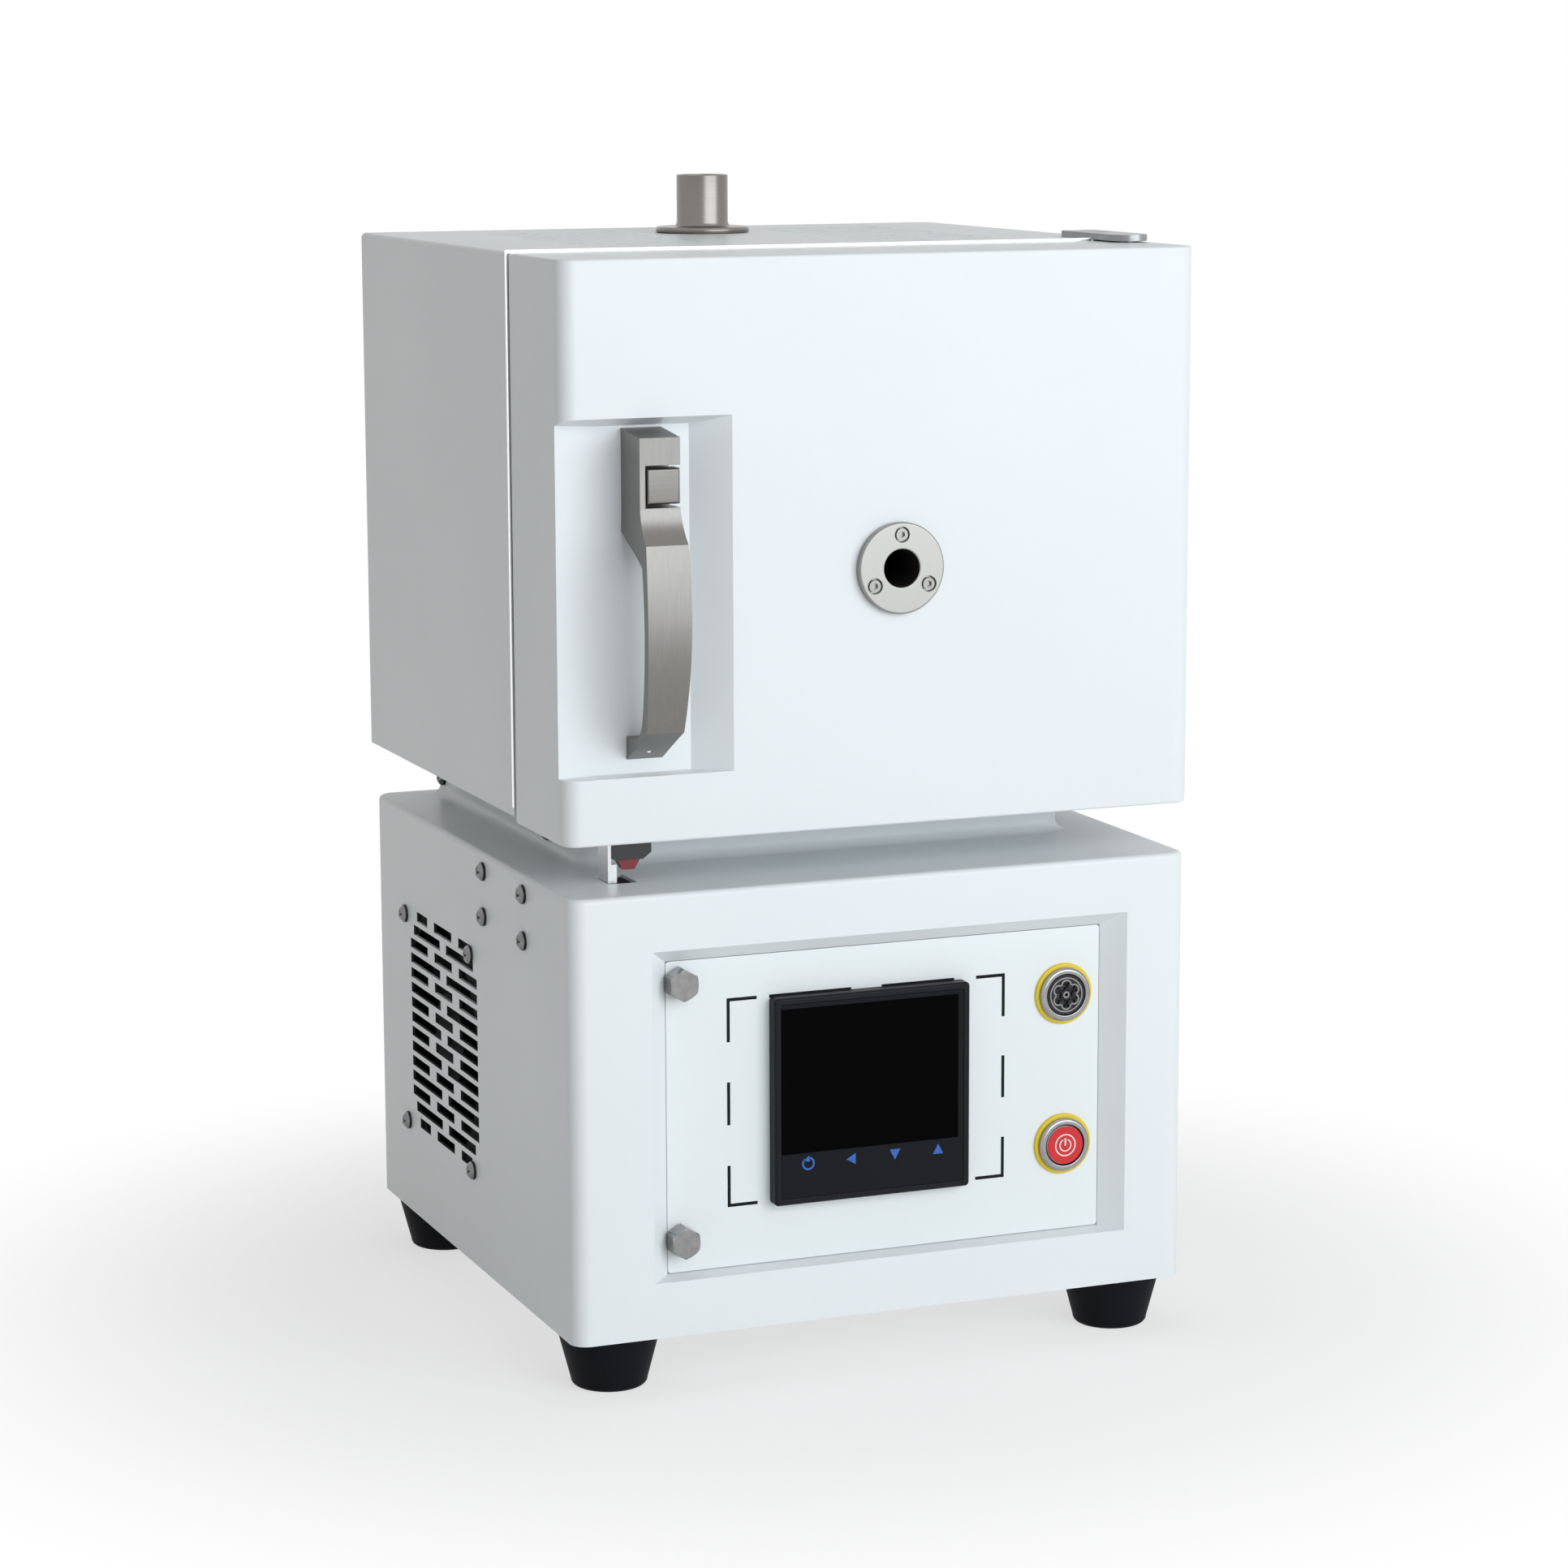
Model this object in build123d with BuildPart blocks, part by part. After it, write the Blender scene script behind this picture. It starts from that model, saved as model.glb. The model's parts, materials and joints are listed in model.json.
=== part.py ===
from build123d import *
import os

# Bench-top muffle furnace: a heating cabinet with a side-hung door on a control base.
# Millimetres, +Z up, the door faces -Y. The origin is on the floor, in the middle of
# the box that holds the whole furnace, from the handle in front to the inlet behind.

os.makedirs("parts", exist_ok=True)

# Sheet metal and clearances
sheet = 1.5
plate = 2.0
fit_gap = 0.3
rim = 12.0
run_gap = 0.05
pan_head_radius = 4.0
pan_head_height = 3.4
pan_shank_radius = 2.0

# Control base
base_width = 302.0
base_depth = 300.0
base_height = 203.0
corner_radius = 8.0
top_radius = 2.5
neck_width = 242.0
neck_height = 26.0
neck_front_inset = 73.0
neck_back_inset = 7.0
neck_fillet = 5.0
neck_shelf = 20.0
foot_height = 26.0
foot_top_radius = 23.5
foot_bottom_radius = 17.5
foot_side_inset = 25.0
foot_front_inset = 26.0

# Heating cabinet
cabinet_width = 305.0
cabinet_depth = 228.0
cabinet_height = 253.0
frame_inset = 0.5

# Door
door_depth = 68.0
door_gap = 3.0
door_setback = 0.5
door_top_drop = 0.6
door_hang = 2.8
hinge_side_inset = 9.0
hinge_back_inset = 15.0

# Chamber and its lining
chamber_width = 130.0
chamber_height = 130.0
chamber_depth = 170.0
chamber_above_cabinet = 121.3
side_board = 60.0
flat_board = 43.0
back_board = 34.0
case_sheet = 1.2
mouth_margin = 8.0
plug_clearance = 5.0
plug_reach = 23.0
plug_taper = 1.5

# Handle and its pocket in the door, measured from the door's front face
handle_proud = 22.5
handle_x = -111.5
pocket_depth = 11.5
pocket_right = -73.5
pocket_floor_right = -89.5
pocket_floor_left = -133.0
pocket_edge_depth = 8.2
pocket_above_door = 29.6
pocket_height = 157.2
pocket_top_slope = 4.0
thumb_travel = 4.0

# Rear
inlet_proud = 3.0
rear_screw_radius = 1.5
rear_screw_inset = 7.5
rear_screw_drop = 24.0
rear_shank = 7.0

# Places worked out from the sizes above
handle_reach = handle_proud - door_setback
total_depth = handle_reach + base_depth + sheet + inlet_proud
y_front = handle_reach - total_depth / 2
y_back = y_front + base_depth
y_middle = (y_front + y_back) / 2
y_door = y_front + door_setback
y_door_back = y_door + door_depth
y_cabinet = y_door_back + door_gap
y_cabinet_back = y_cabinet + cabinet_depth
y_frame = y_cabinet + frame_inset
y_case = y_frame + sheet
z_base = foot_height
z_base_top = z_base + base_height
z_cabinet = z_base_top + neck_height
z_top = z_cabinet + cabinet_height
z_door = z_cabinet - door_hang
z_door_top = z_top - door_top_drop
z_chamber = z_cabinet + chamber_above_cabinet
base_x = base_width / 2
cabinet_x = cabinet_width / 2
hinge_x = cabinet_x - hinge_side_inset
hinge_y = y_door_back - hinge_back_inset


def front_plane(y):
    """A plane across the furnace at y: local x is +X, local y is +Z, and it faces -Y."""
    return Plane.XZ.offset(-y)


def spot(x, y, z):
    """A plane at a point: local x is +X, local y is +Z, and it faces -Y."""
    return Plane(origin=(x, y, z), x_dir=(1, 0, 0), z_dir=(0, -1, 0))


def upright(x, y, z):
    """A level plane at a point, facing +Z."""
    return Plane(origin=(x, y, z))


def block(x, y, z, mode=Mode.ADD):
    """A block between a low and a high value of x, y and z."""
    with Locations(((x[0] + x[1]) / 2, (y[0] + y[1]) / 2, (z[0] + z[1]) / 2)):
        Box(x[1] - x[0], y[1] - y[0], z[1] - z[0], mode=mode)


def span(middle, length):
    """The low and high value of a length about its middle."""
    return (middle - length / 2, middle + length / 2)


def drill(plane, radius, depth, mode=Mode.SUBTRACT):
    """A round hole, or a round rod, from a plane's origin along its normal."""
    with BuildSketch(plane) as ring:
        Circle(radius)
    extrude(ring.sketch, amount=depth, mode=mode)


def turned(place, points, mode=Mode.ADD):
    """A turned piece: points are (radius, height) along the normal of the plane place."""
    side = Plane(origin=place.origin, x_dir=place.x_dir, z_dir=-place.y_dir)
    with BuildSketch(side) as profile:
        with BuildLine():
            Polyline(*points, close=True)
        make_face()
    revolve(profile.sketch, axis=Axis(place.origin, place.z_dir), mode=mode)


def pan_screw(place, head_radius=pan_head_radius, head_height=pan_head_height,
              shank_radius=pan_shank_radius, shank=8.0):
    """A screw with a domed head standing on the plane place, its shank going back."""
    turned(place, [(0, head_height), (head_radius * 0.45, head_height),
                   (head_radius * 0.85, head_height * 0.74), (head_radius, head_height * 0.3),
                   (head_radius, 0), (shank_radius, 0), (shank_radius, -shank), (0, -shank)])


def frustum(y_near, near, y_far, far, mode=Mode.ADD):
    """Four sloped sides along Y between two rectangles given as x, x, z, z."""
    with BuildSketch(front_plane(y_near)) as mouth:
        with Locations(((near[0] + near[1]) / 2, (near[2] + near[3]) / 2)):
            Rectangle(near[1] - near[0], near[3] - near[2])
    with BuildSketch(front_plane(y_far)) as floor:
        with Locations(((far[0] + far[1]) / 2, (far[2] + far[3]) / 2)):
            Rectangle(far[1] - far[0], far[3] - far[2])
    loft([mouth.sketch, floor.sketch], ruled=True, mode=mode)


def grown(edges, amount):
    """A rectangle x, x, z, z with each side moved out by amount."""
    return (edges[0] - amount, edges[1] + amount, edges[2] - amount, edges[3] + amount)


def rear_holes(half_width, low, high, y):
    """The four holes of a rear panel's screws, through the panel and the rim under it."""
    with BuildSketch(front_plane(y + sheet + 1)) as holes:
        for x in (-half_width + rear_screw_inset, half_width - rear_screw_inset):
            with Locations((x, low + rear_screw_drop), (x, high - rear_screw_drop)):
                Circle(rear_screw_radius + fit_gap)
    extrude(holes.sketch, amount=3 * sheet + 1, mode=Mode.SUBTRACT)


def finish(part, name):
    """Give a finished piece its name and write it as its own file."""
    part.part.label = name
    export_step(part.part, f"parts/{name}.step")


# Control base: the recess in its front, the grilles in its sides and the holes that
# the shell shares with the pieces fixed to it.
recess = (-113.0, 120.4, z_base + 25.5, z_base + 177.0)
recess_depth = 9.0
side_slope = 9.8
upper_slope = 6.5
lower_slope = 1.2
left_slope = 9.2
recess_floor = (recess[0] + left_slope, recess[1] - side_slope,
                recess[2] + lower_slope, recess[3] - upper_slope)
panel_front = y_front + recess_depth
panel_back = panel_front + plate
flange = 6.0

grille_y = y_front + 189.5
grille_z = z_base + 100.7
grille_width = 106.0
grille_rows = 15
row_pitch = 7.4
slot_height = 4.9
short_slot = 28.0
long_slot = 48.0
corner_trim = 11.0

fan_y = y_front + 198.5
fan_z = z_base + 98.2
fan_pitch = 104.8
relay_y = y_front + 94.8
relay_z = z_base + 183.5
relay_pitch_y = 59.0
relay_pitch_z = 21.4
neck_screw_y = (y_front + 118.0, y_front + 281.0)
neck_screw_z = z_base_top + neck_fillet + pan_head_radius + fit_gap
screw_hole = pan_shank_radius + 0.2

switch_x = -115.5
switch_y = y_front + 40.5
switch_slot_x = 13.5
switch_slot_y = 21.0

bolt_hole = 4.2
washer_radius = 5.6
bolt_x = recess_floor[0] + washer_radius + fit_gap
bolt_z = (z_base + 42.6, z_base + 160.7)

y_neck = y_front + neck_front_inset
y_neck_back = y_back - neck_back_inset

fan_screws = [(fan_y + dy * fan_pitch / 2, fan_z + dz * fan_pitch / 2)
              for dy in (-1, 1) for dz in (-1, 1)]
relay_screws = [(relay_y + dy * relay_pitch_y / 2, relay_z + dz * relay_pitch_z / 2)
                for dy in (-1, 1) for dz in (-1, 1)]

with BuildPart() as base_shell:
    with BuildSketch(Plane.XY.offset(z_base)):
        with Locations((0, y_middle)):
            RectangleRounded(base_width, base_depth, corner_radius)
    extrude(amount=base_height)
    with BuildSketch(Plane.XY.offset(z_base_top)):
        with Locations((0, (y_neck + y_neck_back) / 2)):
            RectangleRounded(neck_width, y_neck_back - y_neck, corner_radius)
    extrude(amount=neck_height)
    ledge = base_shell.faces().filter_by(Axis.Z).sort_by(Axis.Z)[-2]
    fillet(ledge.inner_wires()[0].edges(), neck_fillet)
    ledge = base_shell.faces().filter_by(Axis.Z).sort_by(Axis.Z)[-2]
    fillet(ledge.outer_wire().edges(), top_radius)
    # the hollow of the body, open at the bottom
    with BuildSketch(Plane.XY.offset(z_base)):
        with Locations((0, y_middle)):
            RectangleRounded(base_width - 2 * sheet, base_depth - 2 * sheet, corner_radius - sheet)
    extrude(amount=base_height - sheet, mode=Mode.SUBTRACT)
    # the hollow of the neck, up to a shelf that carries the cabinet
    with BuildSketch(Plane.XY.offset(z_base_top - sheet)):
        with Locations((0, (y_neck + y_neck_back) / 2)):
            RectangleRounded(neck_width - 2 * sheet, y_neck_back - y_neck - 2 * sheet,
                             corner_radius - sheet)
    extrude(amount=neck_height, mode=Mode.SUBTRACT)
    block(span(0, neck_width - 2 * neck_shelf),
          (y_neck + neck_shelf, y_neck_back - neck_shelf),
          (z_cabinet - 2 * sheet, z_cabinet + sheet), Mode.SUBTRACT)
    # the opening behind, with a rim for the rear panel
    block(span(0, base_width - 2 * rim), (y_back - 2 * sheet, y_back + sheet),
          (z_base + rim, z_base_top - rim), Mode.SUBTRACT)
    # the sloped recess with a flange behind the control panel
    frustum(y_front + sheet, grown(recess, sheet), panel_back + sheet, grown(recess_floor, sheet))
    frustum(y_front, recess, panel_front, recess_floor, Mode.SUBTRACT)
    block(recess_floor[:2], (panel_front, panel_back), recess_floor[2:], Mode.SUBTRACT)
    block((recess_floor[0] + 2 * flange, recess_floor[1] - flange),
          (panel_front, panel_back + 2 * sheet),
          (recess_floor[2] + flange, recess_floor[3] - flange), Mode.SUBTRACT)
    # brick-pattern grilles, cut through both sides at once
    with BuildSketch(Plane.YZ) as bricks:
        for row in range(grille_rows):
            row_z = grille_z + (row - (grille_rows - 1) / 2) * row_pitch
            slot = long_slot if row % 2 else short_slot
            count = 2 if row % 2 else 3
            from_end = min(row, grille_rows - 1 - row)
            trim = max(0.0, corner_trim * (1 - from_end / 2))
            for column in range(count):
                low = grille_y - grille_width / 2
                low += column * (grille_width - slot) / (count - 1)
                high = low + slot
                if column == 0:
                    low += trim
                if column == count - 1:
                    high -= trim
                with Locations(((low + high) / 2, row_z)):
                    Rectangle(high - low, slot_height)
    extrude(amount=base_width, both=True, mode=Mode.SUBTRACT)
    # screw holes of the fan and its matching grille, the heat sink and the neck
    with BuildSketch(Plane.YZ):
        with Locations(*fan_screws):
            Circle(screw_hole)
        with Locations(*[(y, neck_screw_z) for y in neck_screw_y]):
            Circle(screw_hole)
    extrude(amount=base_width, both=True, mode=Mode.SUBTRACT)
    with BuildSketch(Plane.YZ):
        with Locations(*relay_screws):
            Circle(screw_hole)
    extrude(amount=-base_width, mode=Mode.SUBTRACT)
    # the slot that the door switch comes up through
    block(span(switch_x, switch_slot_x), span(switch_y, switch_slot_y),
          (z_base_top - 2 * sheet, z_base_top + sheet), Mode.SUBTRACT)
    # holes of the two panel bolts in the flange
    with BuildSketch(front_plane(panel_back + 2 * sheet)):
        with Locations(*[(bolt_x, z) for z in bolt_z]):
            Circle(bolt_hole)
    extrude(amount=3 * sheet, mode=Mode.SUBTRACT)
    rear_holes(base_x, z_base, z_base_top, y_back)
finish(base_shell, "base_shell")

# Bottom plate with turned-up sides, vent slots and the foot holes
foot_x = base_x - foot_side_inset
foot_places = {
    "foot_front_left": (-foot_x, y_front + foot_front_inset),
    "foot_front_right": (foot_x, y_front + foot_front_inset),
    "foot_rear_left": (-foot_x, y_back - foot_front_inset),
    "foot_rear_right": (foot_x, y_back - foot_front_inset),
}
foot_screw_radius = 2.5
plate_x = base_x - sheet - fit_gap
plate_y = (y_front + sheet + fit_gap, y_back - sheet - fit_gap)
upstand = 14.0

with BuildPart() as base_bottom_plate:
    with BuildSketch(Plane.XY.offset(z_base)):
        with Locations((0, y_middle)):
            RectangleRounded(2 * plate_x, plate_y[1] - plate_y[0], corner_radius - sheet)
    extrude(amount=plate)
    for side in (-1, 1):
        block(sorted((side * plate_x, side * (plate_x - sheet))),
              (plate_y[0] + corner_radius, plate_y[1] - corner_radius),
              (z_base + plate, z_base + upstand))
    with BuildSketch(Plane.XY.offset(z_base)):
        with Locations(*foot_places.values()):
            Circle(foot_screw_radius + fit_gap)
        with GridLocations(60, 14, 2, 7):
            with Locations((0, y_middle)):
                SlotOverall(46, 5)
    extrude(amount=plate, mode=Mode.SUBTRACT)
finish(base_bottom_plate, "base_bottom_plate")

# Tapered rubber feet, each with a screw set up into its hollow
foot_recess_radius = 8.0
foot_recess = 14.0
foot_rounding = 3.0
for name, (x, y) in foot_places.items():
    with BuildPart() as foot:
        with BuildSketch(Plane(origin=(x, y, 0), x_dir=(1, 0, 0), z_dir=(0, -1, 0))) as profile:
            with BuildLine():
                Polyline((foot_recess_radius, 0), (foot_bottom_radius - foot_rounding, 0))
                RadiusArc((foot_bottom_radius - foot_rounding, 0),
                          (foot_bottom_radius, foot_rounding), -foot_rounding)
                Polyline((foot_bottom_radius, foot_rounding), (foot_top_radius, foot_height),
                         (foot_screw_radius + fit_gap, foot_height),
                         (foot_screw_radius + fit_gap, foot_recess),
                         (foot_recess_radius, foot_recess), (foot_recess_radius, 0))
            make_face()
        revolve(profile.sketch, axis=Axis((x, y, 0), (0, 0, 1)))
    finish(foot, name)

with BuildPart() as foot_screws:
    for x, y in foot_places.values():
        seat = Plane(origin=(x, y, foot_recess), x_dir=(1, 0, 0), z_dir=(0, 0, -1))
        pan_screw(seat, head_radius=5.5, head_height=3.6, shank_radius=foot_screw_radius,
                  shank=foot_height - foot_recess + plate + 8)
        drill(upright(x, y, z_base + plate), 4.6, 4.0, Mode.ADD)
finish(foot_screws, "foot_screws")

# Rear panel on the rim of the base, with vent slots and the inlet's cut-out
inlet_x = 88.0
inlet_z = z_base + 62.0
inlet_body = (28.0, 21.0)
inlet_flange = (50.0, 27.0)
inlet_screw_pitch = 40.0
panel_overlap = rim - 3.0
rear_panel_x = base_x - rim + panel_overlap
rear_panel_z = (z_base + rim - panel_overlap, z_base_top - rim + panel_overlap)

with BuildPart() as base_back_panel:
    with BuildSketch(front_plane(y_back + sheet)):
        with Locations((0, (rear_panel_z[0] + rear_panel_z[1]) / 2)):
            RectangleRounded(2 * rear_panel_x, rear_panel_z[1] - rear_panel_z[0], 4)
        with Locations((inlet_x, inlet_z)):
            Rectangle(inlet_body[0] + 2 * fit_gap, inlet_body[1] + 2 * fit_gap,
                      mode=Mode.SUBTRACT)
        with Locations((-40, z_base + base_height / 2)):
            with GridLocations(60, 12, 2, 8):
                SlotOverall(48, 4, mode=Mode.SUBTRACT)
    extrude(amount=sheet)
    rear_holes(base_x, z_base, z_base_top, y_back)
finish(base_back_panel, "base_back_panel")

# Control panel in the recess, with the controller, the buzzer and the power button
controller_x = -6.0
controller_z = z_base + 102.3
controller_size = 96.0
controller_body = 91.0
button_x = 92.1
buzzer_z = z_base + 139.2
power_z = z_base + 67.8
button_barrel = 11.0

with BuildPart() as control_panel:
    with BuildSketch(front_plane(panel_back)):
        with Locations(((recess_floor[0] + recess_floor[1]) / 2,
                        (recess_floor[2] + recess_floor[3]) / 2)):
            RectangleRounded(recess_floor[1] - recess_floor[0] - 2 * fit_gap,
                             recess_floor[3] - recess_floor[2] - 2 * fit_gap, 1.5)
        with Locations((controller_x, controller_z)):
            Rectangle(controller_body + 2 * fit_gap, controller_body + 2 * fit_gap,
                      mode=Mode.SUBTRACT)
        with Locations((button_x, buzzer_z), (button_x, power_z)):
            Circle(button_barrel + fit_gap, mode=Mode.SUBTRACT)
        with Locations(*[(bolt_x, z) for z in bolt_z]):
            Circle(bolt_hole, mode=Mode.SUBTRACT)
    extrude(amount=plate)
finish(control_panel, "control_panel")

# Two hexagon bolts on washers hold the panel to the flange
bolt_flats = 13.0
bolt_head = 8.5
washer = 1.4
with BuildPart() as panel_bolts:
    for z in bolt_z:
        seat = Plane(origin=(bolt_x, panel_front, z), x_dir=(1, 0, 0), z_dir=(0, -1, 0))
        drill(seat, washer_radius, washer, Mode.ADD)
        with BuildSketch(seat.offset(washer)) as head:
            RegularPolygon(bolt_flats / 2, 6, major_radius=False, rotation=30)
        extrude(head.sketch, amount=bolt_head)
        crown = bolt_flats / 2 * 1.16
        corner = washer + bolt_head
        turned(seat, [(bolt_flats / 2, corner + 1), (bolt_flats / 2, corner),
                      (crown + 1, corner - 2.4), (crown + 1, corner + 1)], Mode.SUBTRACT)
        drill(Plane(origin=seat.origin, x_dir=(1, 0, 0), z_dir=(0, 1, 0)), 4.0, 16.0, Mode.ADD)
finish(panel_bolts, "panel_bolts")

# Temperature controller: bezel and body in one moulding, with a window in front
bezel_depth = 7.0
bezel_front = panel_front - bezel_depth
window_size = 90.0
window_recess = 1.6
controller_depth = 60.0
with BuildPart() as controller_case:
    with BuildSketch(front_plane(panel_front)):
        with Locations((controller_x, controller_z)):
            RectangleRounded(controller_size, controller_size, 2)
    extrude(amount=bezel_depth)
    front_edges = controller_case.faces().sort_by(Axis.Y)[0].outer_wire().edges()
    chamfer(front_edges, 0.8)
    with BuildSketch(front_plane(bezel_front)):
        with Locations((controller_x, controller_z)):
            RectangleRounded(window_size, window_size, 1)
    extrude(amount=-window_recess, mode=Mode.SUBTRACT)
    with BuildSketch(front_plane(panel_front)):
        with Locations((controller_x, controller_z)):
            RectangleRounded(controller_body, controller_body, 1.5)
    extrude(amount=-controller_depth)
    with BuildSketch(front_plane(panel_front + controller_depth)):
        with Locations((controller_x, controller_z)):
            with GridLocations(26, 0, 3, 1):
                Rectangle(14, 70)
    extrude(amount=5, mode=Mode.SUBTRACT)
finish(controller_case, "controller_case")

with BuildPart() as controller_window:
    with BuildSketch(front_plane(bezel_front + window_recess)):
        with Locations((controller_x, controller_z)):
            RectangleRounded(window_size - fit_gap, window_size - fit_gap, 1)
    extrude(amount=window_recess - 0.2)
finish(controller_window, "controller_window")

# Buzzer and power button: chrome bezels with long barrels, yellow collars under them
bezel_radius = 12.6
bezel_bore = 9.8
bezel_proud = 4.0
collar_radius = 14.4
collar = 1.4
barrel_depth = 26.0
button_places = [Plane(origin=(button_x, panel_front, z), x_dir=(1, 0, 0), z_dir=(0, -1, 0))
                 for z in (buzzer_z, power_z)]

with BuildPart() as button_collars:
    for seat in button_places:
        turned(seat, [(button_barrel + fit_gap, 0), (collar_radius, 0),
                      (collar_radius, collar * 0.6), (collar_radius - 0.6, collar),
                      (button_barrel + fit_gap, collar)])
finish(button_collars, "button_collars")

with BuildPart() as button_bezels:
    for seat in button_places:
        turned(seat, [(bezel_bore, bezel_proud), (bezel_bore, -barrel_depth + plate),
                      (0, -barrel_depth + plate), (0, -barrel_depth),
                      (button_barrel, -barrel_depth), (button_barrel, collar),
                      (bezel_radius, collar), (bezel_radius, bezel_proud - 1.0),
                      (bezel_radius - 1.0, bezel_proud)])
        turned(seat, [(button_barrel, -plate - sheet), (button_barrel + 3.4, -plate - sheet),
                      (button_barrel + 3.4, -plate - sheet - 3), (button_barrel, -plate - sheet - 3)])
finish(button_bezels, "button_bezels")

with BuildPart() as alarm_buzzer:
    drill(button_places[0].offset(bezel_proud - 7.5), bezel_bore - fit_gap, 7.0, Mode.ADD)
    drill(button_places[0].offset(-barrel_depth + plate), bezel_bore - 2, 21.0, Mode.ADD)
    with BuildSketch(button_places[0].offset(bezel_proud - 0.5)) as sound_slots:
        with BuildLine() as petal:
            CenterArc((4.6, 0), 1.9, 60, 240)
        with PolarLocations(0, 6):
            SlotArc(petal.edge(), 0.9)
        Circle(0.8)
    extrude(sound_slots.sketch, amount=-1.0, mode=Mode.SUBTRACT)
finish(alarm_buzzer, "alarm_buzzer")

power_travel = 2.5
with BuildPart() as power_button:
    cap_radius = bezel_bore - fit_gap
    turned(button_places[1].offset(bezel_proud),
           [(0, -0.3), (cap_radius - 2.6, -0.3), (cap_radius - 2.2, -0.7),
            (cap_radius - 1.8, -0.3), (cap_radius - 0.5, -0.3), (cap_radius, -0.8),
            (cap_radius, -6.5), (3.0, -6.5), (3.0, -barrel_depth - bezel_proud + 3 * plate),
            (0, -barrel_depth - bezel_proud + 3 * plate)])
finish(power_button, "power_button")

# Pan-head screws of the sides: fan, matching grille, heat sink and neck
left_wall = [Plane(origin=(-base_x, y, z), x_dir=(0, -1, 0), z_dir=(-1, 0, 0))
             for y, z in fan_screws + relay_screws]
right_wall = [Plane(origin=(base_x, y, z), x_dir=(0, 1, 0), z_dir=(1, 0, 0))
              for y, z in fan_screws]
neck_wall = [Plane(origin=(side * neck_width / 2, y, neck_screw_z), x_dir=(0, side, 0),
                   z_dir=(side, 0, 0)) for side in (-1, 1) for y in neck_screw_y]
with BuildPart() as side_screws:
    for place in left_wall + right_wall + neck_wall:
        pan_screw(place)
finish(side_screws, "side_screws")

# Cooling fan behind the left grille: a frame with a motor stub, and a bladed rotor
fan_size = 119.0
fan_depth = 38.0
fan_duct = 57.0
fan_hub = 22.0
fan_shaft = 3.0
fan_x = -base_x + sheet
motor_depth = 12.0
rotor_gap = 1.5
fan_place = Plane(origin=(fan_x, fan_y, fan_z), x_dir=(0, 1, 0), z_dir=(1, 0, 0))
with BuildPart() as fan_frame:
    with BuildSketch(fan_place) as flange_plate:
        RectangleRounded(fan_size, fan_size, 5)
        Circle(fan_duct, mode=Mode.SUBTRACT)
        with GridLocations(fan_pitch, fan_pitch, 2, 2):
            Circle(screw_hole, mode=Mode.SUBTRACT)
    extrude(flange_plate.sketch, amount=4)
    with BuildSketch(fan_place.offset(fan_depth - 4)) as rear_flange:
        RectangleRounded(fan_size, fan_size, 5)
        Circle(fan_duct, mode=Mode.SUBTRACT)
        with GridLocations(fan_pitch, fan_pitch, 2, 2):
            Circle(screw_hole, mode=Mode.SUBTRACT)
    extrude(rear_flange.sketch, amount=4)
    with BuildSketch(fan_place) as duct:
        Circle(fan_size / 2)
        Circle(fan_duct, mode=Mode.SUBTRACT)
    extrude(duct.sketch, amount=fan_depth)
    with BuildSketch(fan_place.offset(fan_depth - 4)) as struts:
        with PolarLocations(0, 4, start_angle=20):
            with Locations((fan_size / 4, 0)):
                Rectangle(fan_size / 2 - 2, 5)
        Circle(fan_hub)
    extrude(struts.sketch, amount=4)
    drill(fan_place.offset(fan_depth - motor_depth), fan_hub - 6, motor_depth, Mode.ADD)
    drill(fan_place.offset(8), fan_shaft, fan_depth - 8, Mode.ADD)
finish(fan_frame, "fan_frame")

blade_count = 7
blade_tip = fan_duct - 1.5
blade_chord = 24.0
blade_pitch = 35.0
rotor_depth = fan_depth - motor_depth - rotor_gap - 5
with BuildPart() as fan_rotor:
    hub_plane = fan_place.offset(4)
    drill(hub_plane, fan_hub, rotor_depth, Mode.ADD)
    for index in range(blade_count):
        angle = index * 360 / blade_count
        centre = hub_plane.offset(rotor_depth / 2).location * Rot(0, 0, angle)
        blade = centre * Pos(fan_hub + (blade_tip - fan_hub) / 2 - 1, 0, 0)
        blade = blade * Rot(blade_pitch, 0, 0)
        add(blade * Box(blade_tip - fan_hub + 1, blade_chord, 1.6, mode=Mode.PRIVATE))
    drill(hub_plane.offset(-1), fan_shaft + run_gap, rotor_depth + 2)
finish(fan_rotor, "fan_rotor")

# Heat sink on the left wall carries the solid-state relay
sink_y = span(relay_y, 84.0)
sink_z = (z_base + 92.0, z_base_top - 6.0)
sink_plate = 5.0
sink_x = -base_x + sheet
fin_height = 22.0
relay_size = (28.0, 57.5, 44.5)
relay_face = sink_x + sink_plate
relay_low = sink_z[0] + 4
with BuildPart() as relay_heat_sink:
    block((sink_x, relay_face), sink_y, sink_z)
    fin_pitch = 8.0
    fin_low = relay_low + relay_size[2] + 4
    fins = int((sink_z[1] - fin_low) // fin_pitch)
    for fin in range(fins):
        fin_z = fin_low + fin * fin_pitch
        block((relay_face, relay_face + fin_height), sink_y, (fin_z, fin_z + 2))
    with BuildSketch(Plane.YZ.offset(sink_x - 1)):
        with Locations(*relay_screws):
            Circle(screw_hole)
    extrude(amount=sink_plate + 2, mode=Mode.SUBTRACT)
finish(relay_heat_sink, "relay_heat_sink")

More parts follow.
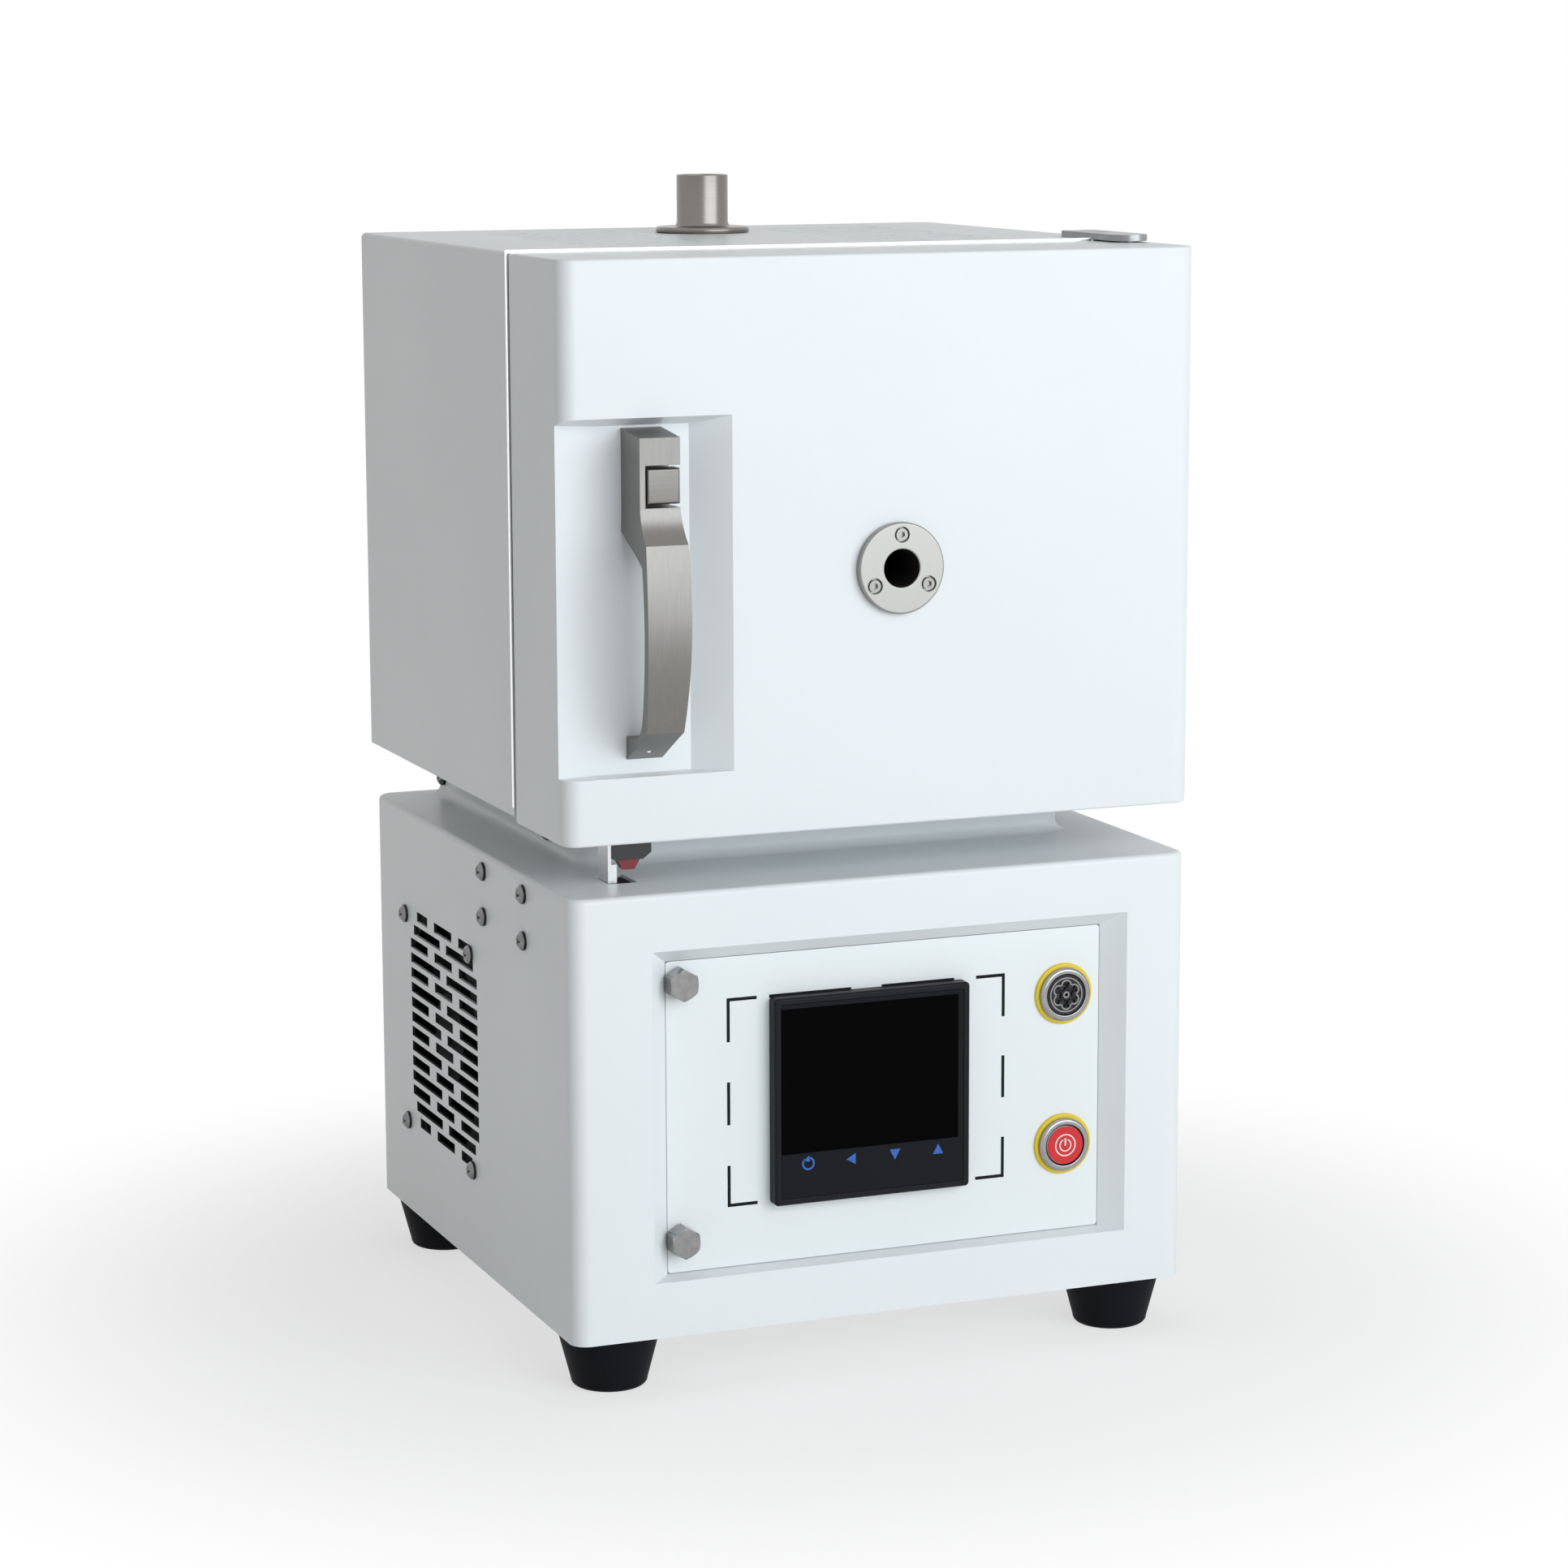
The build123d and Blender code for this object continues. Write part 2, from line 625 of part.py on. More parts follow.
with BuildPart() as solid_state_relay:
    block((relay_face, relay_face + relay_size[0]), span(relay_y, relay_size[1]),
          (relay_low, relay_low + relay_size[2]))
    for side in (-1, 1):
        end_y = relay_y + side * relay_size[1] / 2
        block((relay_face + 10, relay_face + relay_size[0]), span(end_y, 16),
              (relay_low - 1, relay_low + relay_size[2] + 1), Mode.SUBTRACT)
        with BuildSketch(Plane.YZ.offset(relay_face + 10)) as terminals:
            with Locations(*[(end_y - side * 4, relay_low + relay_size[2] * share)
                             for share in (0.25, 0.75)]):
                Circle(3.4)
        extrude(terminals.sketch, amount=5)
finish(solid_state_relay, "solid_state_relay")

# Terminal block on the bottom plate
terminal_x = (20.0, 44.0)
terminal_y = span(y_middle, 92.0)
terminal_z = z_base + plate
ways = 6
with BuildPart() as terminal_block:
    block(terminal_x, terminal_y, (terminal_z, terminal_z + 9))
    way_pitch = (terminal_y[1] - terminal_y[0] - 2) / ways
    for way in range(ways + 1):
        wall_y = terminal_y[0] + way * way_pitch
        block(terminal_x, (wall_y, wall_y + 2), (terminal_z + 9, terminal_z + 18))
    for way in range(ways):
        for x in (26.0, 38.0):
            centre_y = terminal_y[0] + 1 + (way + 0.5) * way_pitch
            drill(upright(x, centre_y, terminal_z + 9), 3.5, 4,
                  Mode.ADD)
finish(terminal_block, "terminal_block")

# Mains inlet in the rear panel: flange, moulded body, three pins in its well
with BuildPart() as power_inlet:
    inlet_face = y_back + sheet
    with BuildSketch(front_plane(inlet_face)):
        with Locations((inlet_x, inlet_z)):
            RectangleRounded(inlet_flange[0], inlet_flange[1], 6)
            with GridLocations(inlet_screw_pitch, 0, 2, 1):
                Circle(1.7, mode=Mode.SUBTRACT)
    extrude(amount=-inlet_proud)
    block(span(inlet_x, inlet_body[0]), (inlet_face - 32, inlet_face),
          span(inlet_z, inlet_body[1]))
    with BuildSketch(front_plane(inlet_face + inlet_proud)):
        with Locations((inlet_x, inlet_z)):
            Rectangle(24.0, 16.5)
    extrude(amount=17, mode=Mode.SUBTRACT)
    for x, z in ((-7.0, 2.0), (0.0, -2.0), (7.0, 2.0)):
        block(span(inlet_x + x, 2.0), (inlet_face + inlet_proud - 17, inlet_face - 1),
              span(inlet_z + z, 4.0))
finish(power_inlet, "power_inlet")

# Door switch: a bracket under the top sheet comes up through the slot and holds the
# switch. The door's bottom edge presses a plunger that runs through the switch.
switch_low = z_base_top + 9.0
switch_shoulder = z_base_top + 12.0
switch_high = z_base_top + 21.0
switch_width = 21.0
switch_depth = 7.0
switch_neck_width = 13.0
plunger_top = 2.0
plunger_rod = 2.0
plunger_travel = 1.2
red_top = 11.0
red_bottom = 5.4
bracket_x = switch_x - switch_slot_x / 2 + 0.3
with BuildPart() as switch_bracket:
    tab_y = span(switch_y - 2, 13.0)
    block((bracket_x, bracket_x + sheet), tab_y, (z_base_top - 14, z_base_top + 19))
    block((bracket_x - 26, bracket_x + sheet), tab_y,
          (z_base_top - 2 * sheet, z_base_top - sheet))
    block((bracket_x, bracket_x + 4.2), (tab_y[0], tab_y[0] + sheet),
          (z_base_top - 14, z_base_top + 8.4))
finish(switch_bracket, "switch_bracket")

with BuildPart() as interlock_switch:
    switch_left = bracket_x + sheet
    switch_mid = switch_left + switch_width / 2
    with BuildSketch(front_plane(switch_y + switch_depth / 2)):
        with BuildLine():
            Polyline((switch_left, switch_high), (switch_left + switch_width, switch_high),
                     (switch_left + switch_width, switch_shoulder),
                     (switch_mid + switch_neck_width / 2, switch_low),
                     (switch_mid - switch_neck_width / 2, switch_low),
                     (switch_left, switch_shoulder), close=True)
        make_face()
    extrude(amount=switch_depth)
    rod_place = upright(switch_mid, switch_y, switch_low)
    drill(rod_place.offset(-1), plunger_rod + run_gap, switch_high - switch_low + 2)
    block(span(switch_mid, red_top + 2 * fit_gap), span(switch_y, 5 + 2 * fit_gap),
          (switch_low - 1, switch_low + plunger_travel + 0.6), Mode.SUBTRACT)
finish(interlock_switch, "interlock_switch")

with BuildPart() as switch_plunger:
    with BuildSketch(front_plane(switch_y + 2.5)) as tip:
        with BuildLine():
            Polyline((switch_mid - red_top / 2, switch_low),
                     (switch_mid + red_top / 2, switch_low),
                     (switch_mid + red_bottom / 2, switch_low - 4.5),
                     (switch_mid - red_bottom / 2, switch_low - 4.5), close=True)
        make_face()
    extrude(tip.sketch, amount=5)
    drill(rod_place, plunger_rod, z_door - fit_gap - switch_low, Mode.ADD)
    fillet(switch_plunger.faces().sort_by(Axis.Z)[-1].edges(), 0.8)
finish(switch_plunger, "switch_plunger")

# Heating cabinet: painted shell with vent slots in its top
flue_y = y_front + 230.0
flue_radius = 9.0
stub_bore = 10.5
vent_rows = 10
vent_pitch = 17.0
vent_x = 70.0
with BuildPart() as cabinet_shell:
    with BuildSketch(front_plane(y_cabinet_back)):
        with Locations((0, (z_cabinet + z_top) / 2)):
            Rectangle(cabinet_width, cabinet_height)
    extrude(amount=cabinet_depth)
    fillet(cabinet_shell.edges().filter_by(Axis.Y).group_by(Axis.Z)[-1], top_radius)
    block(span(0, cabinet_width - 2 * sheet), (y_cabinet - sheet, y_cabinet_back - sheet),
          (z_cabinet - sheet, z_top - sheet), Mode.SUBTRACT)
    block(span(0, cabinet_width - 2 * rim), (y_cabinet_back - 2 * sheet, y_cabinet_back + sheet),
          (z_cabinet + rim, z_top - rim), Mode.SUBTRACT)
    with BuildSketch(Plane.XY.offset(z_top)):
        for row in range(vent_rows):
            vent_y = y_cabinet + 30 + row * vent_pitch
            with Locations((-vent_x, vent_y), (vent_x, vent_y)):
                SlotOverall(66, 5)
        with Locations((0, flue_y)):
            Circle(stub_bore)
    extrude(amount=-2 * sheet, mode=Mode.SUBTRACT)
    rear_holes(cabinet_x, z_cabinet, z_top, y_cabinet_back)
finish(cabinet_shell, "cabinet_shell")

# Floor tray with two ribs that carry the inner case
case_width = chamber_width + 2 * side_board + 2 * case_sheet
case_low = z_chamber - chamber_height / 2 - flat_board - case_sheet
case_high = z_chamber + chamber_height / 2 + flat_board + case_sheet
y_chamber_back = y_case + chamber_depth
y_case_back = y_chamber_back + back_board + case_sheet
with BuildPart() as cabinet_floor:
    block(span(0, cabinet_width - 2 * sheet - 2 * fit_gap),
          (y_cabinet + frame_inset + sheet, y_cabinet_back - sheet),
          (z_cabinet, z_cabinet + plate))
    for side in (-1, 1):
        block(span(side * 80, 20), (y_case, y_case_back), (z_cabinet + plate, case_low))
    block(span(0, 110), (y_case + 40, y_case_back - 40), (z_cabinet - 1, z_cabinet + plate + 1),
          Mode.SUBTRACT)
finish(cabinet_floor, "cabinet_floor")

# Back cover with vent slots
cover_x = cabinet_x - rim + panel_overlap
cover_z = (z_cabinet + rim - panel_overlap, z_top - rim + panel_overlap)
with BuildPart() as cabinet_back_cover:
    with BuildSketch(front_plane(y_cabinet_back + sheet)):
        with Locations((0, (cover_z[0] + cover_z[1]) / 2)):
            RectangleRounded(2 * cover_x, cover_z[1] - cover_z[0], 4)
            with GridLocations(80, 190, 3, 2):
                with GridLocations(0, 9, 1, 4):
                    SlotOverall(60, 4, mode=Mode.SUBTRACT)
    extrude(amount=sheet)
    rear_holes(cabinet_x, z_cabinet, z_top, y_cabinet_back)
finish(cabinet_back_cover, "cabinet_back_cover")

rear_panels = ((base_x, z_base, z_base_top, y_back), (cabinet_x, z_cabinet, z_top, y_cabinet_back))
with BuildPart() as rear_screws:
    for half_width, low, high, y in rear_panels:
        for x in (-half_width + rear_screw_inset, half_width - rear_screw_inset):
            for z in (low + rear_screw_drop, high - rear_screw_drop):
                pan_screw(Plane(origin=(x, y + sheet, z), x_dir=(-1, 0, 0), z_dir=(0, 1, 0)),
                          head_radius=3.5, head_height=2.4, shank_radius=rear_screw_radius,
                          shank=rear_shank)
finish(rear_screws, "rear_screws")

# Front frame round the mouth, with the slot for the latch
latch_z = z_door + 158.0
latch_x = -137.0
latch_slot = (22.0, 9.0)
mouth = (chamber_width + 2 * mouth_margin, chamber_height + 2 * mouth_margin)
with BuildPart() as front_frame:
    with BuildSketch(front_plane(y_case)):
        with Locations((0, (z_cabinet + z_top - sheet) / 2)):
            Rectangle(cabinet_width - 2 * sheet - 2 * fit_gap,
                      cabinet_height - sheet - 2 * fit_gap)
        with Locations((0, z_chamber)):
            RectangleRounded(mouth[0], mouth[1], 4, mode=Mode.SUBTRACT)
        with Locations((latch_x, latch_z)):
            Rectangle(latch_slot[0], latch_slot[1], mode=Mode.SUBTRACT)
    extrude(amount=sheet)
finish(front_frame, "front_frame")

with BuildPart() as strike_plate:
    with BuildSketch(front_plane(y_case + plate)):
        with Locations((latch_x - 1.5, latch_z)):
            Rectangle(latch_slot[0] + 2, latch_slot[1] + 26)
        with Locations((latch_x, latch_z)):
            Rectangle(latch_slot[0] - 2, latch_slot[1], mode=Mode.SUBTRACT)
    extrude(amount=plate)
finish(strike_plate, "strike_plate")

# Inner case of thin sheet, open in front, round the fibre boards
element_rows = 6
element_pitch = 19.0
element_radius = 2.0
element_depth = 1.5
element_x = chamber_width / 2 + element_depth
element_front = y_case + 12
element_back = y_chamber_back - 10
element_tail = y_case_back + 11
element_z = [z_chamber + (row - (element_rows - 1) / 2) * element_pitch
             for row in range(element_rows)]
probe_z = z_chamber + chamber_height / 2 - 28
probe_radius = 3.0
with BuildPart() as inner_case:
    block(span(0, case_width), (y_case, y_case_back), (case_low, case_high))
    block(span(0, case_width - 2 * case_sheet), (y_case - 1, y_case_back - case_sheet),
          (case_low + case_sheet, case_high - case_sheet), Mode.SUBTRACT)
    with BuildSketch(front_plane(y_case_back + 1)):
        with Locations(*[(side * element_x, z) for side in (-1, 1)
                         for z in (element_z[0], element_z[-1])]):
            Circle(element_radius + 2)
        with Locations((0, probe_z)):
            Circle(probe_radius + fit_gap)
    extrude(amount=case_sheet + 2, mode=Mode.SUBTRACT)
    drill(upright(0, flue_y, case_high + 1), flue_radius + fit_gap,
          -case_sheet - 2)
finish(inner_case, "inner_case")


def element_path(side):
    """The line of a heating element: runs along Y that turn back and forth."""
    points = [(element_tail, element_z[0])]
    for row in range(element_rows):
        ends = (element_front, element_back) if row % 2 == 0 else (element_back, element_front)
        turn = ends[0]
        if row < element_rows - 1:
            points.append((turn, element_z[row]))
            points.append((turn, element_z[row + 1]))
    points.append((element_tail, element_z[-1]))
    with BuildLine(Plane.YZ.offset(side * element_x)) as path:
        FilletPolyline(*points, radius=element_pitch / 2 - 0.5)
    return path


def element_rod(side, radius, mode=Mode.ADD):
    """A round rod along the heating element's line."""
    path = element_path(side)
    start = Plane(origin=(side * element_x, element_tail, element_z[0]), x_dir=(1, 0, 0),
                  z_dir=(0, -1, 0))
    with BuildSketch(start) as section:
        Circle(radius)
    sweep(section.sketch, path=path.line, mode=mode)


for side, name in ((-1, "heater_left"), (1, "heater_right")):
    with BuildPart() as heater:
        element_rod(side, element_radius)
    finish(heater, name)

# Ceramic-fibre boards round the chamber; the elements lie in grooves of the side boards
board_z = (case_low + case_sheet, case_high - case_sheet)
for side, name in ((-1, "insulation_left"), (1, "insulation_right")):
    with BuildPart() as board:
        block(sorted((side * chamber_width / 2, side * (chamber_width / 2 + side_board))),
              (y_case, y_chamber_back), board_z)
        element_rod(side, element_radius + fit_gap, Mode.SUBTRACT)
    finish(board, name)

with BuildPart() as insulation_top:
    block(span(0, chamber_width), (y_case, y_chamber_back),
          (z_chamber + chamber_height / 2, board_z[1]))
    drill(upright(0, flue_y, board_z[1] + 1),
          flue_radius + fit_gap, -flat_board - 2)
finish(insulation_top, "insulation_top")

with BuildPart() as insulation_bottom:
    block(span(0, chamber_width), (y_case, y_chamber_back),
          (board_z[0], z_chamber - chamber_height / 2))
finish(insulation_bottom, "insulation_bottom")

with BuildPart() as insulation_back:
    block(span(0, chamber_width + 2 * side_board), (y_chamber_back, y_chamber_back + back_board),
          board_z)
    with BuildSketch(front_plane(y_case_back)):
        with Locations(*[(side * element_x, z) for side in (-1, 1)
                         for z in (element_z[0], element_z[-1])]):
            Circle(element_radius + fit_gap)
        with Locations((0, probe_z)):
            Circle(probe_radius + fit_gap)
    extrude(amount=back_board + 3, mode=Mode.SUBTRACT)
finish(insulation_back, "insulation_back")

hearth = 10.0
with BuildPart() as hearth_plate:
    block(span(0, chamber_width - 12), (y_door_back + plug_reach + 6, y_chamber_back - 8),
          (z_chamber - chamber_height / 2, z_chamber - chamber_height / 2 + hearth))
    fillet(hearth_plate.edges().filter_by(Axis.Z), 4)
    chamfer(hearth_plate.faces().sort_by(Axis.Z)[-1].edges(), 1)
finish(hearth_plate, "hearth_plate")

# Thermocouple through the back board, its head on the inner case
with BuildPart() as thermocouple:
    probe_seat = Plane(origin=(0, y_case_back, probe_z), x_dir=(1, 0, 0), z_dir=(0, 1, 0))
    turned(probe_seat, [(0, -back_board - 36), (probe_radius - 1, -back_board - 36),
                        (probe_radius, -back_board - 34), (probe_radius, 0), (11, 0), (11, 9),
                        (9.5, 11), (9.5, 13), (0, 13)])
finish(thermocouple, "thermocouple")

# Exhaust stub on the top and the ceramic flue tube below it
stub_radius = 12.5
stub_height = 28.0
stub_flange = 22.8
with BuildPart() as exhaust_stub:
    stub_place = upright(0, flue_y, z_top)
    turned(stub_place, [(stub_bore, 0), (stub_flange - 0.6, 0), (stub_flange, 0.8),
                        (stub_flange, 2.2), (stub_flange - 0.8, 3), (stub_radius + 2, 3),
                        (stub_radius + 0.7, 3.5), (stub_radius, 5.2),
                        (stub_radius, stub_height), (stub_bore, stub_height)])
finish(exhaust_stub, "exhaust_stub")

with BuildPart() as flue_tube:
    tube_low = z_chamber + chamber_height / 2
    turned(upright(0, flue_y, tube_low),
           [(flue_radius - 2.5, 0), (flue_radius, 0), (flue_radius, z_top + 2 - tube_low),
            (flue_radius - 2.5, z_top + 2 - tube_low)])
finish(flue_tube, "flue_tube")

# Hinges: a plate on the top and a joggled plate below, each with its pin
hinge_width = 18.0
hinge_plate = 3.0
pin_radius = 4.0
pin_reach = 12.0
hinge_back = y_cabinet + 34.0
with BuildPart() as hinge_top:
    with BuildSketch(Plane.XY.offset(z_top)):
        with Locations((hinge_x, (hinge_y + hinge_back) / 2)):
            Rectangle(hinge_width, hinge_back - hinge_y)
        with Locations((hinge_x, hinge_y)):
            Circle(hinge_width / 2)
    extrude(amount=hinge_plate)
    with Locations((hinge_x, y_cabinet + 9, z_top + hinge_plate),
                   (hinge_x, y_cabinet + 25, z_top + hinge_plate)):
        CounterSinkHole(2.2, 4.2)
    drill(upright(hinge_x, hinge_y, z_top), pin_radius,
          -(door_top_drop + sheet + pin_reach), Mode.ADD)
finish(hinge_top, "hinge_top")

with BuildPart() as hinge_bottom:
    hinge_low = z_door - fit_gap - hinge_plate
    with BuildSketch(Plane.YZ.offset(hinge_x - hinge_width / 2)):
        with BuildLine():
            Polyline((hinge_y - hinge_width / 2, hinge_low), (y_case + hinge_plate, hinge_low),
                     (y_case + hinge_plate, z_cabinet - hinge_plate),
                     (hinge_back, z_cabinet - hinge_plate), (hinge_back, z_cabinet),
                     (y_case, z_cabinet), (y_case, hinge_low + hinge_plate),
                     (hinge_y - hinge_width / 2, hinge_low + hinge_plate), close=True)
        make_face()
    extrude(amount=hinge_width)
    nose = hinge_bottom.edges().filter_by(Axis.Z).group_by(Axis.Y)[0]
    fillet(nose, hinge_width / 2 - 0.2)
    drill(upright(hinge_x, hinge_y, hinge_low), pin_radius,
          hinge_plate + fit_gap + sheet + pin_reach, Mode.ADD)
finish(hinge_bottom, "hinge_bottom")

# Door skin: a deep pan with rounded front corners and the handle's sloped pocket
pocket_low = z_door + pocket_above_door
pocket_high = pocket_low + pocket_height
pocket_floor = y_door + pocket_depth
outside = cabinet_x + 10
peephole_x = 5.5
peephole_z = z_chamber - 8.0
peephole_radius = 8.5
tube_radius = 10.0
peephole_pitch = 15.0
pocket_outline = [(pocket_right, y_door), (pocket_floor_right, pocket_floor),
                  (pocket_floor_left, pocket_floor), (-cabinet_x, y_door + pocket_edge_depth),
                  (-outside, y_door + pocket_edge_depth), (-outside, y_door - 10),
                  (pocket_right, y_door - 10)]
latch_box = (46.0, 30.0)
head_screw_z = latch_z + latch_box[1] / 2 + pan_head_radius + fit_gap
foot_screw_z = z_door + 41.0
thumb_z = latch_z
thumb_x = -109.8
stem_radius = 3.0


def pocket(spread, mode):
    """The pocket's space, with its walls moved out by spread."""
    with BuildSketch(Plane.XY.offset(pocket_low - spread)) as outline:
        with BuildLine():
            Polyline(*pocket_outline, close=True)
        make_face()
        if spread:
            offset(amount=spread, kind=Kind.INTERSECTION)
    depth = pocket_depth + spread
    with BuildSketch(Plane.YZ.offset(-outside - 5)) as slope:
        with BuildLine():
            Polyline((y_door - 20, pocket_high + spread), (y_door, pocket_high + spread),
                     (y_door + depth, pocket_high + spread - pocket_top_slope),
                     (y_door + depth, pocket_low - spread - 1), (y_door - 20, pocket_low - spread - 1),
                     close=True)
        make_face()
    space = extrude(outline.sketch, amount=pocket_height + 2 * spread, mode=Mode.PRIVATE)
    space &= extrude(slope.sketch, amount=2 * outside, mode=Mode.PRIVATE)
    add(space, mode=mode)


with BuildPart() as door_hollow:
    block(span(0, cabinet_width - 2 * sheet), (y_door + sheet, y_door_back + 1),
          (z_door + sheet, z_door_top - sheet))
    fillet(door_hollow.edges().filter_by(Axis.Z).group_by(Axis.Y)[0], corner_radius - sheet)
    pocket(sheet, Mode.SUBTRACT)

with BuildPart() as door_skin:
    block(span(0, cabinet_width), (y_door, y_door_back), (z_door, z_door_top))
    fillet(door_skin.edges().filter_by(Axis.Z).group_by(Axis.Y)[0], corner_radius)
    fillet(door_skin.faces().sort_by(Axis.Y)[0].edges().filter_by(Axis.X), 1.2)
    pocket(0, Mode.SUBTRACT)
    add(door_hollow.part, mode=Mode.SUBTRACT)
    # vent slots in the top edge
    with BuildSketch(Plane.XY.offset(z_door_top)):
        with Locations((0, y_door + 44)):
            with GridLocations(31, 0, 7, 1):
                SlotOverall(14, 3)
    extrude(amount=-2 * sheet, mode=Mode.SUBTRACT)
    # holes of the hinge pins, the peephole, the handle's screws and the thumb button's stem
    for z in (z_door, z_door_top):
        drill(upright(hinge_x, hinge_y, z - 2), pin_radius + 0.5, 4)
    with BuildSketch(front_plane(y_door)):
        with Locations((peephole_x, peephole_z)):
            Circle(tube_radius + fit_gap)
            with PolarLocations(peephole_pitch, 3, start_angle=90):
                Circle(1.7)
    extrude(amount=-2 * sheet, mode=Mode.SUBTRACT)
    with BuildSketch(front_plane(pocket_floor)):
        with Locations((handle_x, head_screw_z), (handle_x, foot_screw_z)):
            Circle(screw_hole)
        with Locations((thumb_x, thumb_z)):
            Circle(stem_radius + 2 * fit_gap)
    extrude(amount=-2 * sheet, mode=Mode.SUBTRACT)
finish(door_skin, "door_skin")

# Door back plate with the plug's opening and the latch's slot
plug_width = chamber_width - 2 * plug_clearance
plug_height = chamber_height - 2 * plug_clearance
with BuildPart() as door_back_plate:
    with BuildSketch(front_plane(y_door_back)):
        with Locations((0, (z_door + z_door_top) / 2)):
            Rectangle(cabinet_width - 2 * sheet - 2 * fit_gap,
                      z_door_top - z_door - 2 * sheet - 2 * fit_gap)
        with Locations((0, z_chamber)):
            Rectangle(plug_width + 2 * fit_gap, plug_height + 2 * fit_gap, mode=Mode.SUBTRACT)
        with Locations((latch_x, latch_z)):
            Rectangle(latch_slot[0], latch_slot[1], mode=Mode.SUBTRACT)
    extrude(amount=sheet)
finish(door_back_plate, "door_back_plate")

# Insulation block in the door, notched round the latch, and the plug that fills the mouth
insulation_front = y_door + 18.0
latch_left = -149.0
notch_x = latch_left + latch_box[0] + 2
with BuildPart() as door_insulation:
    block((-130, hinge_x - 14), (insulation_front, y_door_back - sheet),
          (z_door + 8, z_door_top - 8))
    block((-131, notch_x), (insulation_front - 1, y_door_back),
          span(latch_z, latch_box[1] + 4), Mode.SUBTRACT)
    drill(spot(peephole_x, y_door, peephole_z),
          tube_radius + fit_gap, -door_depth)
finish(door_insulation, "door_insulation")

with BuildPart() as door_plug:
    near = (-plug_width / 2, plug_width / 2, z_chamber - plug_height / 2,
            z_chamber + plug_height / 2)
    frustum(y_door_back - sheet, near, y_door_back + plug_reach, grown(near, -plug_taper))
    drill(spot(peephole_x, y_door_back - 2 * sheet, peephole_z),
          tube_radius + fit_gap, -(plug_reach + 4 * sheet))
finish(door_plug, "door_plug")

# Seal on the door's back, round the mouth
seal_inner = chamber_width + 2 * mouth_margin + 6
seal_outer = seal_inner + 24
with BuildPart() as door_seal:
    with BuildSketch(front_plane(y_frame - fit_gap)):
        with Locations((0, z_chamber)):
            RectangleRounded(seal_outer, seal_outer, 16)
            RectangleRounded(seal_inner, seal_inner, 6, mode=Mode.SUBTRACT)
    extrude(amount=y_frame - fit_gap - y_door_back)
    fillet(door_seal.faces().sort_by(Axis.Y)[-1].edges(), 1.2)
finish(door_seal, "door_seal")

# Steel blocks inside the door that turn on the hinge pins
hinge_block = 14.0
with BuildPart() as hinge_blocks:
    for low, high in ((z_door + sheet, z_door + sheet + hinge_block),
                      (z_door_top - sheet - hinge_block, z_door_top - sheet)):
        block((hinge_x - hinge_block / 2, cabinet_x - sheet - fit_gap),
              span(hinge_y, hinge_block), (low, high))
        drill(upright(hinge_x, hinge_y, low - 1),
              pin_radius + run_gap, hinge_block + 2)
finish(hinge_blocks, "hinge_blocks")

# Peephole: a stainless flange with three socket screws, and a ceramic tube behind it
flange_radius = 20.5
flange_depth = 4.0
peephole_place = Plane(origin=(peephole_x, y_door, peephole_z), x_dir=(1, 0, 0), z_dir=(0, -1, 0))
with BuildPart() as peephole_flange:
    turned(peephole_place, [(peephole_radius, 0), (flange_radius, 0),
                            (flange_radius, flange_depth - 0.6),
                            (flange_radius - 0.6, flange_depth),
                            (peephole_radius + 0.4, flange_depth),
                            (peephole_radius, flange_depth - 0.4)])
    with BuildSketch(peephole_place.offset(flange_depth)) as counterbores:
        with PolarLocations(peephole_pitch, 3, start_angle=90):
            Circle(3.5)
    extrude(counterbores.sketch, amount=-2.6, mode=Mode.SUBTRACT)
    with BuildSketch(peephole_place) as through:
        with PolarLocations(peephole_pitch, 3, start_angle=90):
            Circle(1.7)
    extrude(through.sketch, amount=flange_depth, mode=Mode.SUBTRACT)
finish(peephole_flange, "peephole_flange")

with BuildPart() as peephole_tube:
    turned(peephole_place, [(peephole_radius, 0), (tube_radius, 0),
                            (tube_radius, -door_depth - plug_reach),
                            (peephole_radius, -door_depth - plug_reach)])
finish(peephole_tube, "peephole_tube")

socket_seat = peephole_place.offset(flange_depth - 2.6)
with BuildPart() as peephole_screws:
    with BuildSketch(socket_seat) as heads:
        with PolarLocations(peephole_pitch, 3, start_angle=90):
            Circle(2.75)
    extrude(heads.sketch, amount=2.4)
    with BuildSketch(socket_seat) as shanks:
        with PolarLocations(peephole_pitch, 3, start_angle=90):
            Circle(1.5)
    extrude(shanks.sketch, amount=-flange_depth - sheet)
    with BuildSketch(socket_seat.offset(2.4)) as sockets:
        with PolarLocations(peephole_pitch, 3, start_angle=90):
            RegularPolygon(1.3, 6, major_radius=False)
    extrude(sockets.sketch, amount=-1.4, mode=Mode.SUBTRACT)
finish(peephole_screws, "peephole_screws")

